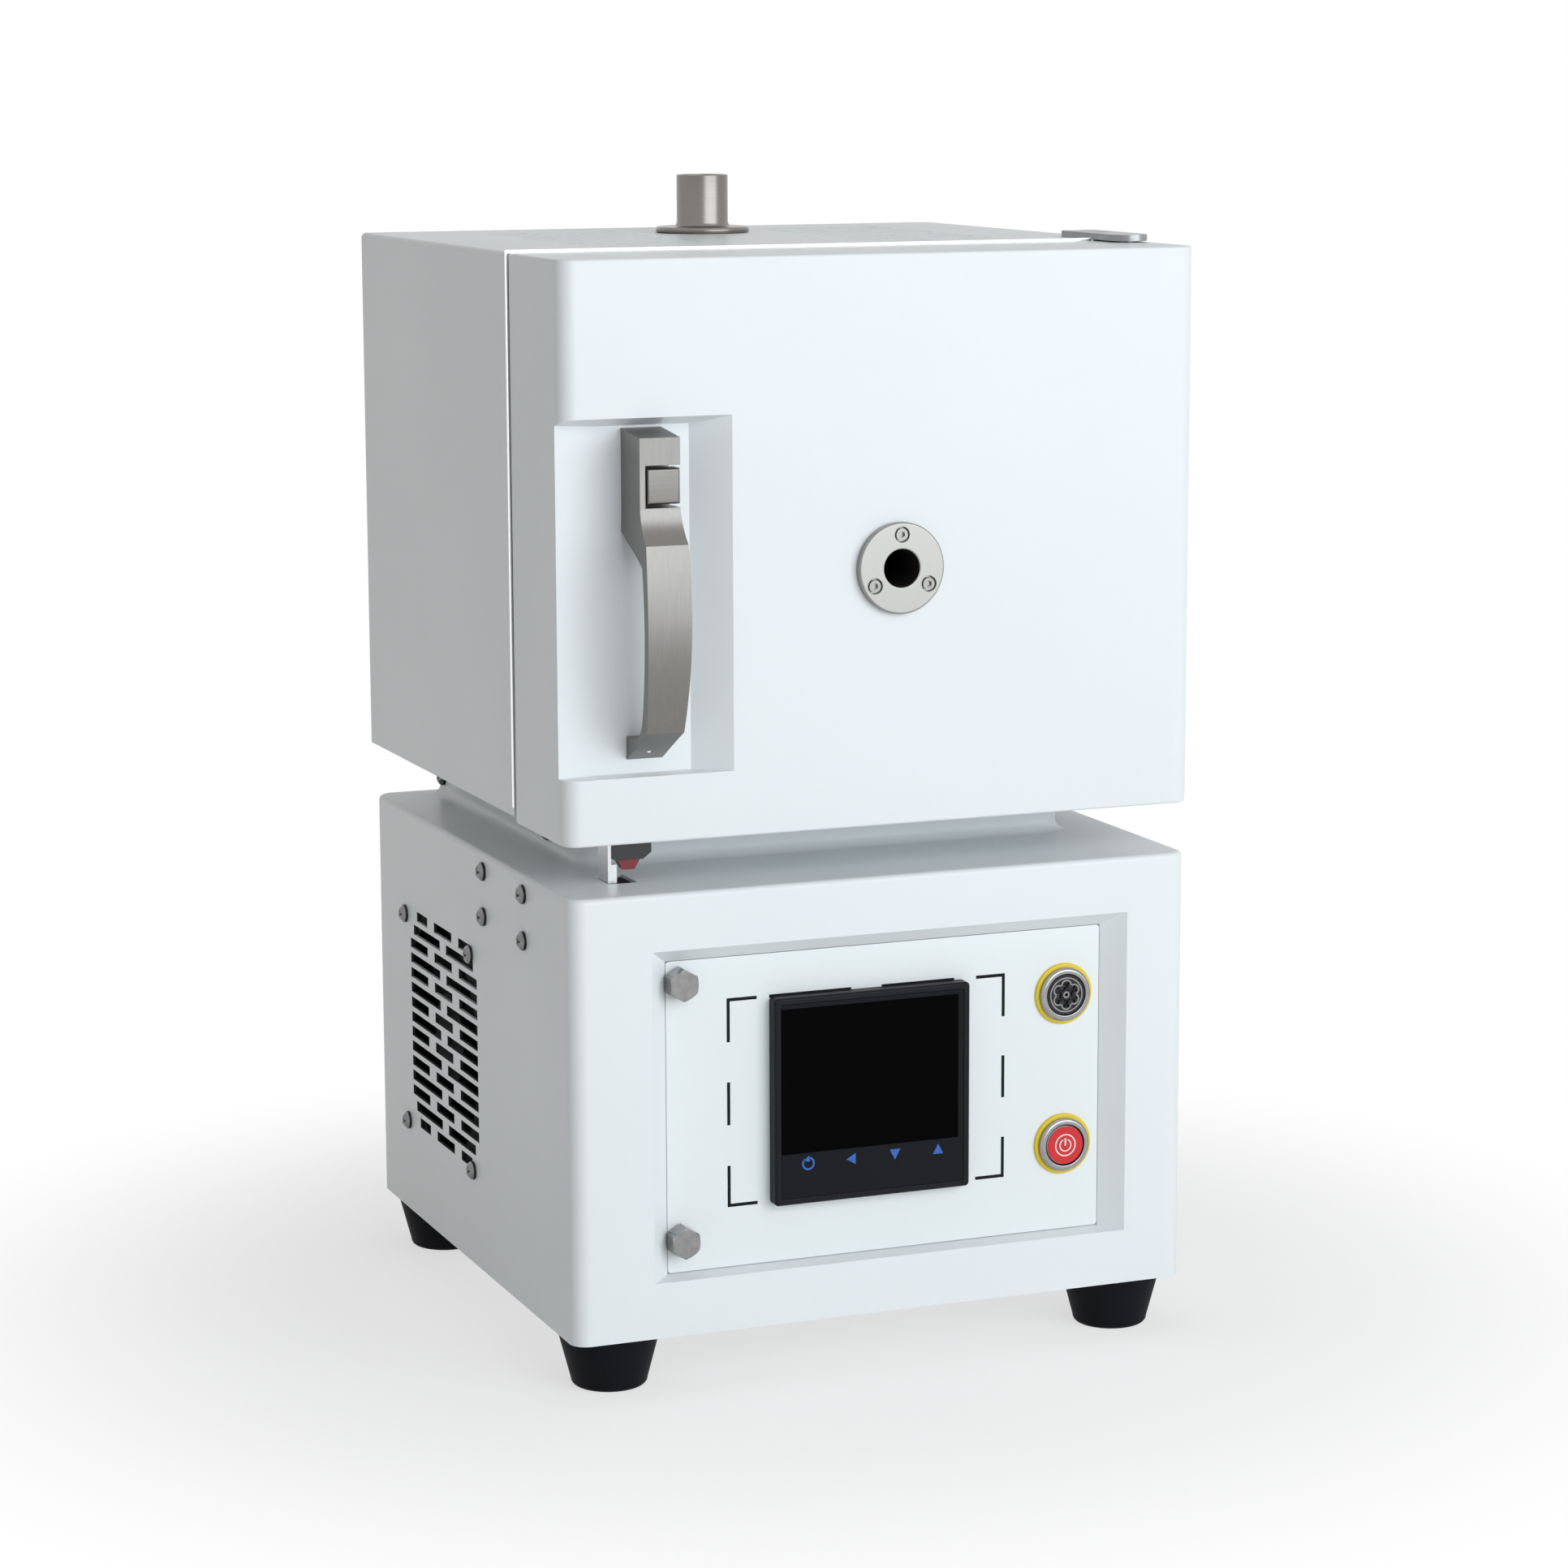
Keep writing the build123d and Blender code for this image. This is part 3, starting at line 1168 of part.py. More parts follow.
# Handle: a die-cast grab handle whose profile bows out in front of the pocket. Heights
# are above the door's bottom edge, and depths are from the door's front face.
handle_half = 10.3
head_top = z_door + 181.8
head_front_top = z_door + 179.1
scoop_top = z_door + 148.3
scoop_end = z_door + 133.3
grip_mid = z_door + 100.0
grip_low = z_door + 50.8
foot_low = z_door + 35.8
foot_high = z_door + 46.3
head_back_low = z_door + 136.6
head_front = y_door - 12.5
crest = y_door - 20.5
grip_front = y_door - handle_proud
foot_front = y_door - 15.5
strap = 5.0
with BuildPart() as handle:
    with BuildSketch(Plane.YZ.offset(handle_x - handle_half)) as side_profile:
        with BuildLine():
            Polyline((pocket_floor, foot_high), (pocket_floor, foot_low), (foot_front, grip_low))
            TangentArc((grip_front, grip_mid), (foot_front, grip_low), tangent=(0, -1))
            TangentArc((grip_front, grip_mid), (crest, scoop_end), tangent=(0, 1))
            ThreePointArc((crest, scoop_end), (crest + 5.2, scoop_end + 6.5),
                          (head_front, scoop_top))
            Polyline((head_front, scoop_top), (head_front, head_front_top),
                     (pocket_floor, head_top), (pocket_floor, head_back_low),
                     (y_door + 3.0, head_back_low - 4))
            ThreePointArc((y_door + 3.0, head_back_low - 4),
                          (y_door - 9.0, head_back_low - 9.5),
                          (grip_front + strap + 2.0, scoop_end - 10))
            ThreePointArc((grip_front + strap + 2.0, scoop_end - 10),
                          (grip_front + strap, grip_mid - 3),
                          (foot_front + strap, foot_high + 9))
            ThreePointArc((foot_front + strap, foot_high + 9),
                          (foot_front + strap + 5.0, foot_high + 2.5),
                          (pocket_floor - 12.0, foot_high))
            Line((pocket_floor - 12.0, foot_high), (pocket_floor, foot_high))
        make_face()
    extrude(side_profile.sketch, amount=2 * handle_half)
    with BuildSketch(front_plane(pocket_floor + 1)) as front_outline:
        with BuildLine():
            Polyline((handle_x - 8.3, foot_low - 1), (handle_x - 8.3, foot_high))
            ThreePointArc((handle_x - 8.3, foot_high), (handle_x - 9.9, grip_mid),
                          (handle_x - 9.6, scoop_top))
            Polyline((handle_x - 9.6, scoop_top), (handle_x - 9.6, head_top + 1),
                     (handle_x + 9.0, head_top + 1), (handle_x + 9.0, scoop_top))
            ThreePointArc((handle_x + 9.0, scoop_top), (handle_x + handle_half, grip_mid + 4),
                          (handle_x + 8.6, foot_high))
            Polyline((handle_x + 8.6, foot_high), (handle_x + 8.6, foot_low - 1),
                     (handle_x - 8.3, foot_low - 1))
        make_face()
    extrude(front_outline.sketch, amount=60, mode=Mode.INTERSECT)
    # the thumb button's window, open to the right
    block((handle_x - 7.0, handle_x + 12), (head_front - 1, head_front + 14.5),
          (thumb_z - 9.2, thumb_z + 9.2), Mode.SUBTRACT)
    drill(spot(thumb_x, y_door - 10, thumb_z),
          stem_radius + fit_gap, -24)
    for z in (head_screw_z, foot_screw_z):
        drill(spot(handle_x, pocket_floor + 1, z), 1.6, 9)
finish(handle, "handle")

with BuildPart() as handle_screws:
    for z in (head_screw_z, foot_screw_z):
        pan_screw(Plane(origin=(handle_x, pocket_floor + sheet, z), x_dir=(-1, 0, 0),
                        z_dir=(0, 1, 0)), head_height=3.0, shank_radius=1.6, shank=8.0)
finish(handle_screws, "handle_screws")

# Thumb button with its stem through the pocket floor
thumb_width = 15.4
thumb_height = 15.6
thumb_front = head_front + 0.8
thumb_depth = 8.5
stem_end = pocket_floor + 24
with BuildPart() as thumb_button:
    block(span(thumb_x, thumb_width), (thumb_front, thumb_front + thumb_depth),
          span(thumb_z, thumb_height))
    fillet(thumb_button.faces().sort_by(Axis.Y)[0].edges(), 1.2)
    drill(spot(thumb_x, stem_end, thumb_z), stem_radius,
          stem_end - thumb_front - 2, Mode.ADD)
finish(thumb_button, "thumb_button")

# Latch: a folded case behind the pocket guides the tongue, which slides sideways
latch_sheet = 1.5
latch_front = pocket_floor + sheet
latch_back = y_door_back - sheet
tongue_width = 12.0
tongue_height = 6.0
tongue_x = latch_x - 1.0
tongue_front = latch_back - 16
with BuildPart() as latch_case:
    block((latch_left, latch_left + latch_box[0]), (latch_front, latch_back),
          span(latch_z, latch_box[1]))
    block((latch_left + latch_sheet, latch_left + latch_box[0] + 1),
          (latch_front + latch_sheet, latch_back - latch_sheet),
          span(latch_z, latch_box[1] - 2 * latch_sheet), Mode.SUBTRACT)
    drill(spot(thumb_x, latch_front - 1, thumb_z),
          stem_radius + fit_gap, -4)
    block(span(latch_x, latch_slot[0]), (latch_back - 4, latch_back + 1),
          span(latch_z, tongue_height + 2 * fit_gap), Mode.SUBTRACT)
finish(latch_case, "latch_case")

with BuildPart() as latch_tongue:
    tongue_back = y_case + plate + 4
    with BuildSketch(Plane.XY.offset(latch_z - tongue_height / 2)):
        with BuildLine():
            Polyline((tongue_x + tongue_width / 2, tongue_front + 5),
                     (tongue_x + tongue_width / 2, tongue_back),
                     (tongue_x - tongue_width / 2, tongue_back),
                     (tongue_x - tongue_width / 2, tongue_back - 4),
                     (tongue_x - tongue_width / 2 + 2.5, tongue_back - 5),
                     (tongue_x - tongue_width / 2 + 2.5, tongue_front),
                     (thumb_x - 8, tongue_front), (thumb_x - 8, tongue_front + 5), close=True)
        make_face()
    extrude(amount=tongue_height)
finish(latch_tongue, "latch_tongue")
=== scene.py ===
import bmesh
import bpy
import json
import math
from mathutils import Matrix, Vector

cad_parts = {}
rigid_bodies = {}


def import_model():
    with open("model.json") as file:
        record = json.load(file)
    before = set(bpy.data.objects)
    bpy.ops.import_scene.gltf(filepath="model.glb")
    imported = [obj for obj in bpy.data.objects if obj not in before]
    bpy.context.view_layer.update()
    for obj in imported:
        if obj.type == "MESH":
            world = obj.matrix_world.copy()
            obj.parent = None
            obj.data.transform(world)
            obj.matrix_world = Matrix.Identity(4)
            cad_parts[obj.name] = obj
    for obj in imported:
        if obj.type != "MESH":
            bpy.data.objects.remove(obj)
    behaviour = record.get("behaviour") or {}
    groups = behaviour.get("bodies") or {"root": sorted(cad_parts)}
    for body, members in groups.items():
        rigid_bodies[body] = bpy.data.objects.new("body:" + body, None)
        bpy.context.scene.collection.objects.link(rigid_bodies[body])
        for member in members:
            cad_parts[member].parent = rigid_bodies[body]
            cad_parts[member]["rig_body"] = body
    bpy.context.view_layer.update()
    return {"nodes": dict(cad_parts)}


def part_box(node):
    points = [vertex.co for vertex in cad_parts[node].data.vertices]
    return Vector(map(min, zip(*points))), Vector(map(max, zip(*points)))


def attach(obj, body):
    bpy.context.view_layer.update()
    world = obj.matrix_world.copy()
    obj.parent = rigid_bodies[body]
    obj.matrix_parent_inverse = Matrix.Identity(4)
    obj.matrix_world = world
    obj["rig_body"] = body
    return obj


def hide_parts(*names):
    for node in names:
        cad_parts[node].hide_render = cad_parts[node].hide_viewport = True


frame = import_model()
nodes = frame["nodes"]

# The studio: a pale floor that fades into white, an even sky, one broad lamp in front of
# the furnace and a weak one above. The camera stands to the left of the door, a little
# above it, with a long lens.
def shader_node(tree, kind, operation=None, **values):
    """A node of a shader tree, with the values of its sockets."""
    made = tree.nodes.new("ShaderNode" + kind)
    if operation:
        made.operation = operation
    for socket, value in values.items():
        made.inputs[socket].default_value = value
    return made


def wire(tree, *pairs):
    """Links each output to its input."""
    for out, into in pairs:
        tree.links.new(out, into)


def in_scene(name, data):
    """A new object of the scene, for a mesh, a lamp or the camera."""
    thing = bpy.data.objects.new(name, data)
    bpy.context.scene.collection.objects.link(thing)
    return thing


sky_strength, sky_tint = 0.335, (1.0, 0.985, 0.97, 1)
world = bpy.data.worlds.new("studio_sky")
bpy.context.scene.world = world
world.use_nodes = True
sky = world.node_tree
sky.nodes.clear()
ambient = shader_node(sky, "Background", Color=sky_tint, Strength=sky_strength)
backdrop = shader_node(sky, "Background", Color=(1, 1, 1, 1), Strength=1.0)
ray = shader_node(sky, "LightPath")
seen = shader_node(sky, "Math", "MAXIMUM")
seen_or_through = shader_node(sky, "Math", "MAXIMUM")
either = shader_node(sky, "MixShader")
sky_out = shader_node(sky, "OutputWorld")
wire(sky,
     (ray.outputs["Is Camera Ray"], seen.inputs[0]),
     (ray.outputs["Is Glossy Ray"], seen.inputs[1]),
     (seen.outputs[0], seen_or_through.inputs[0]),
     (ray.outputs["Is Transmission Ray"], seen_or_through.inputs[1]),
     (seen_or_through.outputs[0], either.inputs["Fac"]),
     (ambient.outputs[0], either.inputs[1]),
     (backdrop.outputs[0], either.inputs[2]),
     (either.outputs[0], sky_out.inputs["Surface"]))

floor_half = 8.0
floor_mesh = bpy.data.meshes.new("studio_floor")
floor_mesh.from_pydata([(-floor_half, -floor_half, 0), (floor_half, -floor_half, 0),
                        (floor_half, floor_half, 0), (-floor_half, floor_half, 0)], [],
                       [(0, 1, 2, 3)])
floor = in_scene("studio_floor", floor_mesh)
fade_start, fade_end, least_white = 0.20, 0.50, 0.62
floor_paint = bpy.data.materials.new("floor_paint")
floor_paint.use_nodes = True
tree = floor_paint.node_tree
tree.nodes.clear()
matt = shader_node(tree, "BsdfDiffuse", Color=(0.93, 0.93, 0.93, 1))
white = shader_node(tree, "Emission", Color=(1, 1, 1, 1))
place = shader_node(tree, "NewGeometry")
distance = shader_node(tree, "VectorMath", "LENGTH")
fade = shader_node(tree, "MapRange")
fade.interpolation_type = "SMOOTHSTEP"
fade.inputs["From Min"].default_value = fade_start
fade.inputs["From Max"].default_value = fade_end
fade.inputs["To Min"].default_value = least_white
ray = shader_node(tree, "LightPath")
seen = shader_node(tree, "Math", "MAXIMUM")
gate = shader_node(tree, "Math", "MULTIPLY")
blend = shader_node(tree, "MixShader")
floor_out = shader_node(tree, "OutputMaterial")
wire(tree,
     (place.outputs["Position"], distance.inputs[0]),
     (distance.outputs["Value"], fade.inputs["Value"]),
     (ray.outputs["Is Camera Ray"], seen.inputs[0]),
     (ray.outputs["Is Glossy Ray"], seen.inputs[1]),
     (fade.outputs["Result"], gate.inputs[0]),
     (seen.outputs[0], gate.inputs[1]),
     (gate.outputs[0], blend.inputs["Fac"]),
     (matt.outputs[0], blend.inputs[1]),
     (white.outputs[0], blend.inputs[2]),
     (blend.outputs[0], floor_out.inputs["Surface"]))
floor_mesh.materials.append(floor_paint)

for name, at, aim, size, power, tint in (
        ("front_lamp", (1.05, -3.05, 0.80), (0.0, 0.0, 0.30), 3.4, 109.0, (0.892, 0.957, 1.0)),
        ("top_lamp", (0.3, -0.3, 3.0), (0.0, 0.0, 0.2), 1.6, 1.5, (1.0, 0.99, 0.97))):
    lamp_data = bpy.data.lights.new(name, "AREA")
    lamp_data.shape = "SQUARE"
    lamp_data.size = size
    lamp_data.energy = power
    lamp_data.color = tint
    lamp = in_scene(name, lamp_data)
    lamp.location = at
    lamp.rotation_euler = (Vector(aim) - Vector(at)).to_track_quat("-Z", "Y").to_euler()

camera_at = (-0.7348, -1.85275, 0.5923)
turn, dip, lean = math.radians(21.806), math.radians(9.786), math.radians(-0.193)
ahead = Vector((math.sin(turn) * math.cos(dip), math.cos(turn) * math.cos(dip), -math.sin(dip)))
level = Vector((math.cos(turn), -math.sin(turn), 0))
upward = level.cross(ahead)
across = math.cos(lean) * level + math.sin(lean) * upward
upright = -math.sin(lean) * level + math.cos(lean) * upward
camera_data = bpy.data.cameras.new("photo_camera")
camera_data.sensor_fit = "HORIZONTAL"
camera_data.sensor_width = 36.0
camera_data.lens = 96.787
camera_data.clip_end = 30.0
camera = in_scene("photo_camera", camera_data)
camera.matrix_world = Matrix.Translation(camera_at) @ Matrix(
    (across, upright, -ahead)).transposed().to_4x4()
bpy.context.scene.camera = camera
bpy.context.scene.view_settings.view_transform = "Standard"

# The shell of the control base is folded and welded from steel sheet, with a sloped
# recess for the controls. It is powder coated: an even white with a faint orange peel.
def bare_material(name):
    """A new material, with its node tree and its Principled shader."""
    material = bpy.data.materials.new(name)
    material.use_nodes = True
    return material, material.node_tree, material.node_tree.nodes["Principled BSDF"]


def new_group(name, takes, gives):
    """A node group with named inputs and value outputs, and its two end nodes."""
    group = bpy.data.node_groups.new(name, "ShaderNodeTree")
    for label, kind, value in takes:
        socket = group.interface.new_socket(label, in_out="INPUT", socket_type=kind)
        socket.default_value = value
    for label in gives:
        group.interface.new_socket(label, in_out="OUTPUT", socket_type="NodeSocketFloat")
    return group, group.nodes.new("NodeGroupInput"), group.nodes.new("NodeGroupOutput")


def use_group(tree, group, **values):
    """Places a group in a material, with its own values."""
    placed = tree.nodes.new("ShaderNodeGroup")
    placed.node_tree = group
    for label, value in values.items():
        placed.inputs[label].default_value = value
    return placed


def two_tones(tree, factor, light, dark):
    """A colour between two tones, by a factor that changes over the surface."""
    tones = tree.nodes.new("ShaderNodeMix")
    tones.data_type = "RGBA"
    tones.inputs["A"].default_value = (*light, 1)
    tones.inputs["B"].default_value = (*dark, 1)
    tree.links.new(factor, tones.inputs["Factor"])
    return tones.outputs["Result"]


def between(tree, factor, low, high):
    """A number between two values, by a factor that changes over the surface."""
    spread = tree.nodes.new("ShaderNodeMapRange")
    spread.inputs["To Min"].default_value = low
    spread.inputs["To Max"].default_value = high
    tree.links.new(factor, spread.inputs["Value"])
    return spread.outputs["Result"]


def raised(tree, height, strength, depth):
    """A normal from a height that changes over the surface."""
    bump = shader_node(tree, "Bump", Strength=strength, Distance=depth)
    tree.links.new(height, bump.inputs["Height"])
    return bump.outputs["Normal"]


orange_peel, peel_in, peel_out = new_group(
    "orange_peel", [("Grain", "NodeSocketFloat", 700.0)], ["Height", "Mottle"])
where = shader_node(orange_peel, "TexCoord")
skin = shader_node(orange_peel, "TexNoise", Detail=2.0)
patches = shader_node(orange_peel, "TexNoise", Scale=9.0, Detail=4.0)
wire(orange_peel,
     (where.outputs["Object"], skin.inputs["Vector"]),
     (where.outputs["Object"], patches.inputs["Vector"]),
     (peel_in.outputs["Grain"], skin.inputs["Scale"]),
     (skin.outputs["Fac"], peel_out.inputs["Height"]),
     (patches.outputs["Fac"], peel_out.inputs["Mottle"]))


def grained(name, light, dark, shine, gloss, grain, relief=None):
    """A coat or moulding in two close tones. The shine is the least and most roughness,
    and the relief is the strength and depth of its grain."""
    material, tree, shader = bare_material(name)
    peel = use_group(tree, orange_peel, Grain=grain)
    mottle = peel.outputs["Mottle"]
    wire(tree,
         (two_tones(tree, mottle, light, dark), shader.inputs["Base Color"]),
         (between(tree, mottle, *shine), shader.inputs["Roughness"]))
    if relief:
        wire(tree, (raised(tree, peel.outputs["Height"], *relief), shader.inputs["Normal"]))
    shader.inputs["Specular IOR Level"].default_value = gloss
    return material


def powder_coat(name, light, dark, shine=(0.34, 0.42)):
    return grained(name, light, dark, shine, gloss=0.4, grain=620.0, relief=(0.10, 0.0002))


def dress(material, *names):
    """Gives solids that keep their shape a finish."""
    for name in names:
        slots = nodes[name].data.materials
        slots.clear()
        slots.append(material)


def rounded(name, width, material, steps=2, sharp=28):
    """A copy of a solid whose sharp edges are rounded over, which stands for the solid."""
    weld, flat_within = 2e-6, math.radians(0.4)
    source = nodes[name]
    mesh = source.data.copy()
    mesh.name = name + "_formed"
    for layer in ("custom_normal", "sharp_face", "sharp_edge"):
        if layer in mesh.attributes:
            mesh.attributes.remove(mesh.attributes[layer])
    work = bmesh.new()
    work.from_mesh(mesh)
    bmesh.ops.remove_doubles(work, verts=work.verts, dist=weld)
    bmesh.ops.dissolve_limit(work, angle_limit=flat_within, verts=work.verts, edges=work.edges)
    work.to_mesh(mesh)
    work.free()
    mesh.materials.clear()
    mesh.materials.append(material)
    for face in mesh.polygons:
        face.use_smooth = True
    mesh.set_sharp_from_angle(angle=math.radians(sharp))
    piece = in_scene(name + "_formed", mesh)
    over = piece.modifiers.new("rounded", "BEVEL")
    over.width = width
    over.segments = steps
    over.limit_method = "ANGLE"
    over.angle_limit = math.radians(sharp)
    over.harden_normals = True
    over.use_clamp_overlap = True
    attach(piece, source["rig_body"])
    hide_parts(name)
    return piece


white_coat = powder_coat("white_powder_coat", (0.835, 0.865, 0.875), (0.80, 0.832, 0.845))
base_form = rounded("base_shell", 0.0007, white_coat)

# Painted shade: inside, behind the recess's front edges, every face of the shell that looks
# towards the shell's middle gets a near-black coat, which stands in for the shade inside the base.
inside_shade_coat = powder_coat("painted_inside_shade", (0.020, 0.021, 0.022), (0.014, 0.015, 0.016), (0.7, 0.85))
base_low, base_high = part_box("base_shell")
base_middle = (base_low + base_high) / 2
shade_starts_at = base_low.y + 0.012
base_form.data.materials.append(inside_shade_coat)
for face in base_form.data.polygons:
    if face.center.y > shade_starts_at and face.normal.dot(face.center - base_middle) < 0:
        face.material_index = 1

# Rear panel and bottom plate of the base. The panel is flat sheet with the white coat. The
# plate is zinc plated, with its sides turned up and its vents punched.
brushing, brush_in, brush_out = new_group(
    "brushing", [("Direction", "NodeSocketVector", (1.0, 1.0, 1.0)),
                 ("Grain", "NodeSocketFloat", 60.0)], ["Streak", "Cloud"])
where = shader_node(brushing, "TexCoord")
drawn = shader_node(brushing, "VectorMath", "MULTIPLY")
lines = shader_node(brushing, "TexNoise", Detail=3.0)
cloud = shader_node(brushing, "TexNoise", Scale=24.0, Detail=3.0)
wire(brushing,
     (where.outputs["Object"], drawn.inputs[0]),
     (brush_in.outputs["Direction"], drawn.inputs[1]),
     (drawn.outputs[0], lines.inputs["Vector"]),
     (brush_in.outputs["Grain"], lines.inputs["Scale"]),
     (where.outputs["Object"], cloud.inputs["Vector"]),
     (lines.outputs["Fac"], brush_out.inputs["Streak"]),
     (cloud.outputs["Fac"], brush_out.inputs["Cloud"]))


def brushed_metal(name, light, dark, grain, shine=(0.26, 0.42), metallic=1.0,
                  direction=(1, 1, 1), relief=(0.35, 0.00004)):
    """Metal with fine marks. The direction has a small number along the lines of a brushed
    finish, and equal ones for a plain grain."""
    material, tree, shader = bare_material(name)
    marks = use_group(tree, brushing, Direction=direction, Grain=grain)
    streak = marks.outputs["Streak"]
    wire(tree,
         (two_tones(tree, streak, light, dark), shader.inputs["Base Color"]),
         (between(tree, marks.outputs["Cloud"], *shine), shader.inputs["Roughness"]))
    if relief:
        wire(tree, (raised(tree, streak, *relief), shader.inputs["Normal"]))
    shader.inputs["Metallic"].default_value = metallic
    return material


zinc = brushed_metal("zinc_plate", (0.60, 0.61, 0.62), (0.46, 0.47, 0.48), 420.0, (0.24, 0.46))
dress(white_coat, "base_back_panel")
dress(zinc, "base_bottom_plate")

# Rubber feet: black moulded cones, each held by a zinc-plated screw in its hollow
# underside.
rubber = grained("black_rubber", (0.0045, 0.0048, 0.0065), (0.008, 0.0083, 0.0105),
                 (0.50, 0.68), gloss=0.08, grain=1500.0, relief=(0.25, 0.0002))
dress(rubber, "foot_front_left", "foot_front_right", "foot_rear_left", "foot_rear_right")
dress(zinc, "foot_screws")

# Control panel: a flat coated plate in the recess. Broken black lines are printed on it
# round the controller.
panel_coat = powder_coat("panel_powder_coat", (0.83, 0.865, 0.865), (0.80, 0.835, 0.835),
                         (0.30, 0.36))
rounded("control_panel", 0.0004, panel_coat)
ink = grained("black_ink", (0.010, 0.010, 0.011), (0.018, 0.018, 0.019), (0.5, 0.65),
              gloss=0.04, grain=900.0)


def formed(name, work, *materials):
    """A new object from worked geometry, with its materials."""
    mesh = bpy.data.meshes.new(name)
    bmesh.ops.recalc_face_normals(work, faces=work.faces)
    work.to_mesh(mesh)
    work.free()
    for material in materials:
        mesh.materials.append(material)
    return in_scene(name, mesh)


def flat_print(name, strips, y, body, material, lift=0.00006):
    """Strips of ink on a surface that faces the front: each is a list of points x, z."""
    work = bmesh.new()
    for strip in strips:
        back = [work.verts.new((x, y, z)) for x, z in strip]
        front = [work.verts.new((x, y - lift, z)) for x, z in strip]
        work.faces.new(front)
        work.faces.new(back[::-1])
        for i in range(len(strip)):
            j = (i + 1) % len(strip)
            work.faces.new((back[i], back[j], front[j], front[i]))
    piece = formed(name, work, material)
    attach(piece, body)


def bar(x0, x1, z0, z1):
    """The four corners of a straight printed bar."""
    return [(x0, z0), (x1, z0), (x1, z1), (x0, z1)]


line = 0.0015
left_line, right_line, top_line, low_line = -0.0745, 0.0610, 0.1772, 0.0807
top_leg, low_leg, corner_arm = 0.0202, 0.0192, 0.0145
side_dash = (0.1187, 0.1385)
top_dashes = ((-0.054, -0.014), (0.001, 0.037))
broken_lines = []
for edge, arm in ((left_line, (left_line + line, left_line + corner_arm)),
                  (right_line, (right_line - corner_arm + line, right_line))):
    broken_lines += [bar(edge, edge + line, top_line - top_leg, top_line),
                     bar(edge, edge + line, *side_dash),
                     bar(edge, edge + line, low_line, low_line + low_leg),
                     bar(*arm, top_line - line, top_line),
                     bar(*arm, low_line, low_line + line)]
broken_lines += [bar(*dash, top_line - line, top_line) for dash in top_dashes]
panel_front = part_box("control_panel")[0].y
flat_print("panel_print", broken_lines, panel_front, "housing", ink)

# Two hexagon bolts hold the panel. They are zinc plated, with a conical chamfer on the
# head and a thin washer under it.
bright_zinc = brushed_metal("bright_zinc", (0.40, 0.40, 0.40), (0.22, 0.22, 0.22), 260.0,
                            (0.07, 0.16), 0.97)
rounded("panel_bolts", 0.0003, bright_zinc)

# The temperature controller: a black moulded case, a glossy window over the display,
# and four touch keys printed under the display.
moulding = grained("black_moulding", (0.0065, 0.0072, 0.0090), (0.0085, 0.0095, 0.0115),
                   (0.34, 0.46), gloss=0.14, grain=2600.0, relief=(0.2, 0.0001))
rounded("controller_case", 0.0007, moulding, 3)
window_glass = grained("smoked_window", (0.0085, 0.0095, 0.0125), (0.0110, 0.0120, 0.0150),
                       (0.22, 0.30), gloss=0.08, grain=300.0)
dress(window_glass, "controller_window")
display_black = grained("display_black", (0.0004, 0.0004, 0.0005), (0.0009, 0.0009, 0.0011),
                        (0.5, 0.6), gloss=0.02, grain=300.0)
key_blue = grained("key_blue", (0.018, 0.13, 0.50), (0.014, 0.10, 0.42), (0.3, 0.4),
                   gloss=0.5, grain=700.0)
window_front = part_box("controller_window")[0].y
display_x, display_z = (-0.0508, 0.0362), (0.1040, 0.1712)
flat_print("controller_display", [bar(*display_x, *display_z)], window_front, "housing",
           display_black)


def ring_arc(x, z, radius, width, start, end, steps):
    """Quads along an arc, from a start to an end angle in degrees."""
    inside = radius - width
    strips = []
    for i in range(steps):
        a = math.radians(start + (end - start) * i / steps)
        b = math.radians(start + (end - start) * (i + 1) / steps)
        strips.append([(x + r * math.cos(t), z + r * math.sin(t))
                       for r, t in ((radius, a), (radius, b), (inside, b), (inside, a))])
    return strips


# The first key is an open ring with an arrow's tip, and the others are triangles that
# point left, down and up. Their points are x and the height above the keys' centre line.
key_z, ring_x, ring_radius, ring_width = 0.0990, -0.0379, 0.0031, 0.0009
ring_tip = ((-0.0404, 0.0013), (-0.0376, 0.0036), (-0.0372, 0.0008))
left_key = ((-0.0192, 0.0), (-0.0147, 0.0026), (-0.0147, -0.0026))
down_key = ((0.0021, 0.0024), (0.0074, 0.0024), (0.0048, -0.0025))
up_key = ((0.0236, -0.0019), (0.0288, -0.0019), (0.0262, 0.0029))
keys = ring_arc(ring_x, key_z, ring_radius, ring_width, -230, 75, 24)
for triangle in (ring_tip, left_key, down_key, up_key):
    keys.append([(x, key_z + above) for x, above in triangle])
flat_print("touch_keys", keys, window_front, "housing", key_blue)

# Buzzer and power button: polished steel bezels over yellow plastic collars. The buzzer
# is a dark disc with a bright petal pattern, the power button a red cap with the usual
# symbol.
polished = brushed_metal("polished_steel", (0.40, 0.40, 0.40), (0.30, 0.30, 0.30), 500.0,
                         (0.08, 0.18), relief=None)
rounded("button_bezels", 0.0004, polished, 3)


def plastic(name, light, dark, shine=(0.32, 0.46), gloss=0.5):
    return grained(name, light, dark, shine, gloss, grain=1800.0, relief=(0.15, 0.0001))


yellow = plastic("yellow_plastic", (0.82, 0.62, 0.035), (0.74, 0.53, 0.02))
rounded("button_collars", 0.0003, yellow, 3)
# This dark steel is the buzzer's own colour, and it also paints the shade in the screw heads'
# recesses below.
shade_and_buzzer_steel = brushed_metal("buzzer_steel_and_shade", (0.045, 0.045, 0.048), (0.022, 0.022, 0.025), 500.0,
                           (0.2, 0.35))
dress(shade_and_buzzer_steel, "alarm_buzzer")
dress(polished, "power_button")

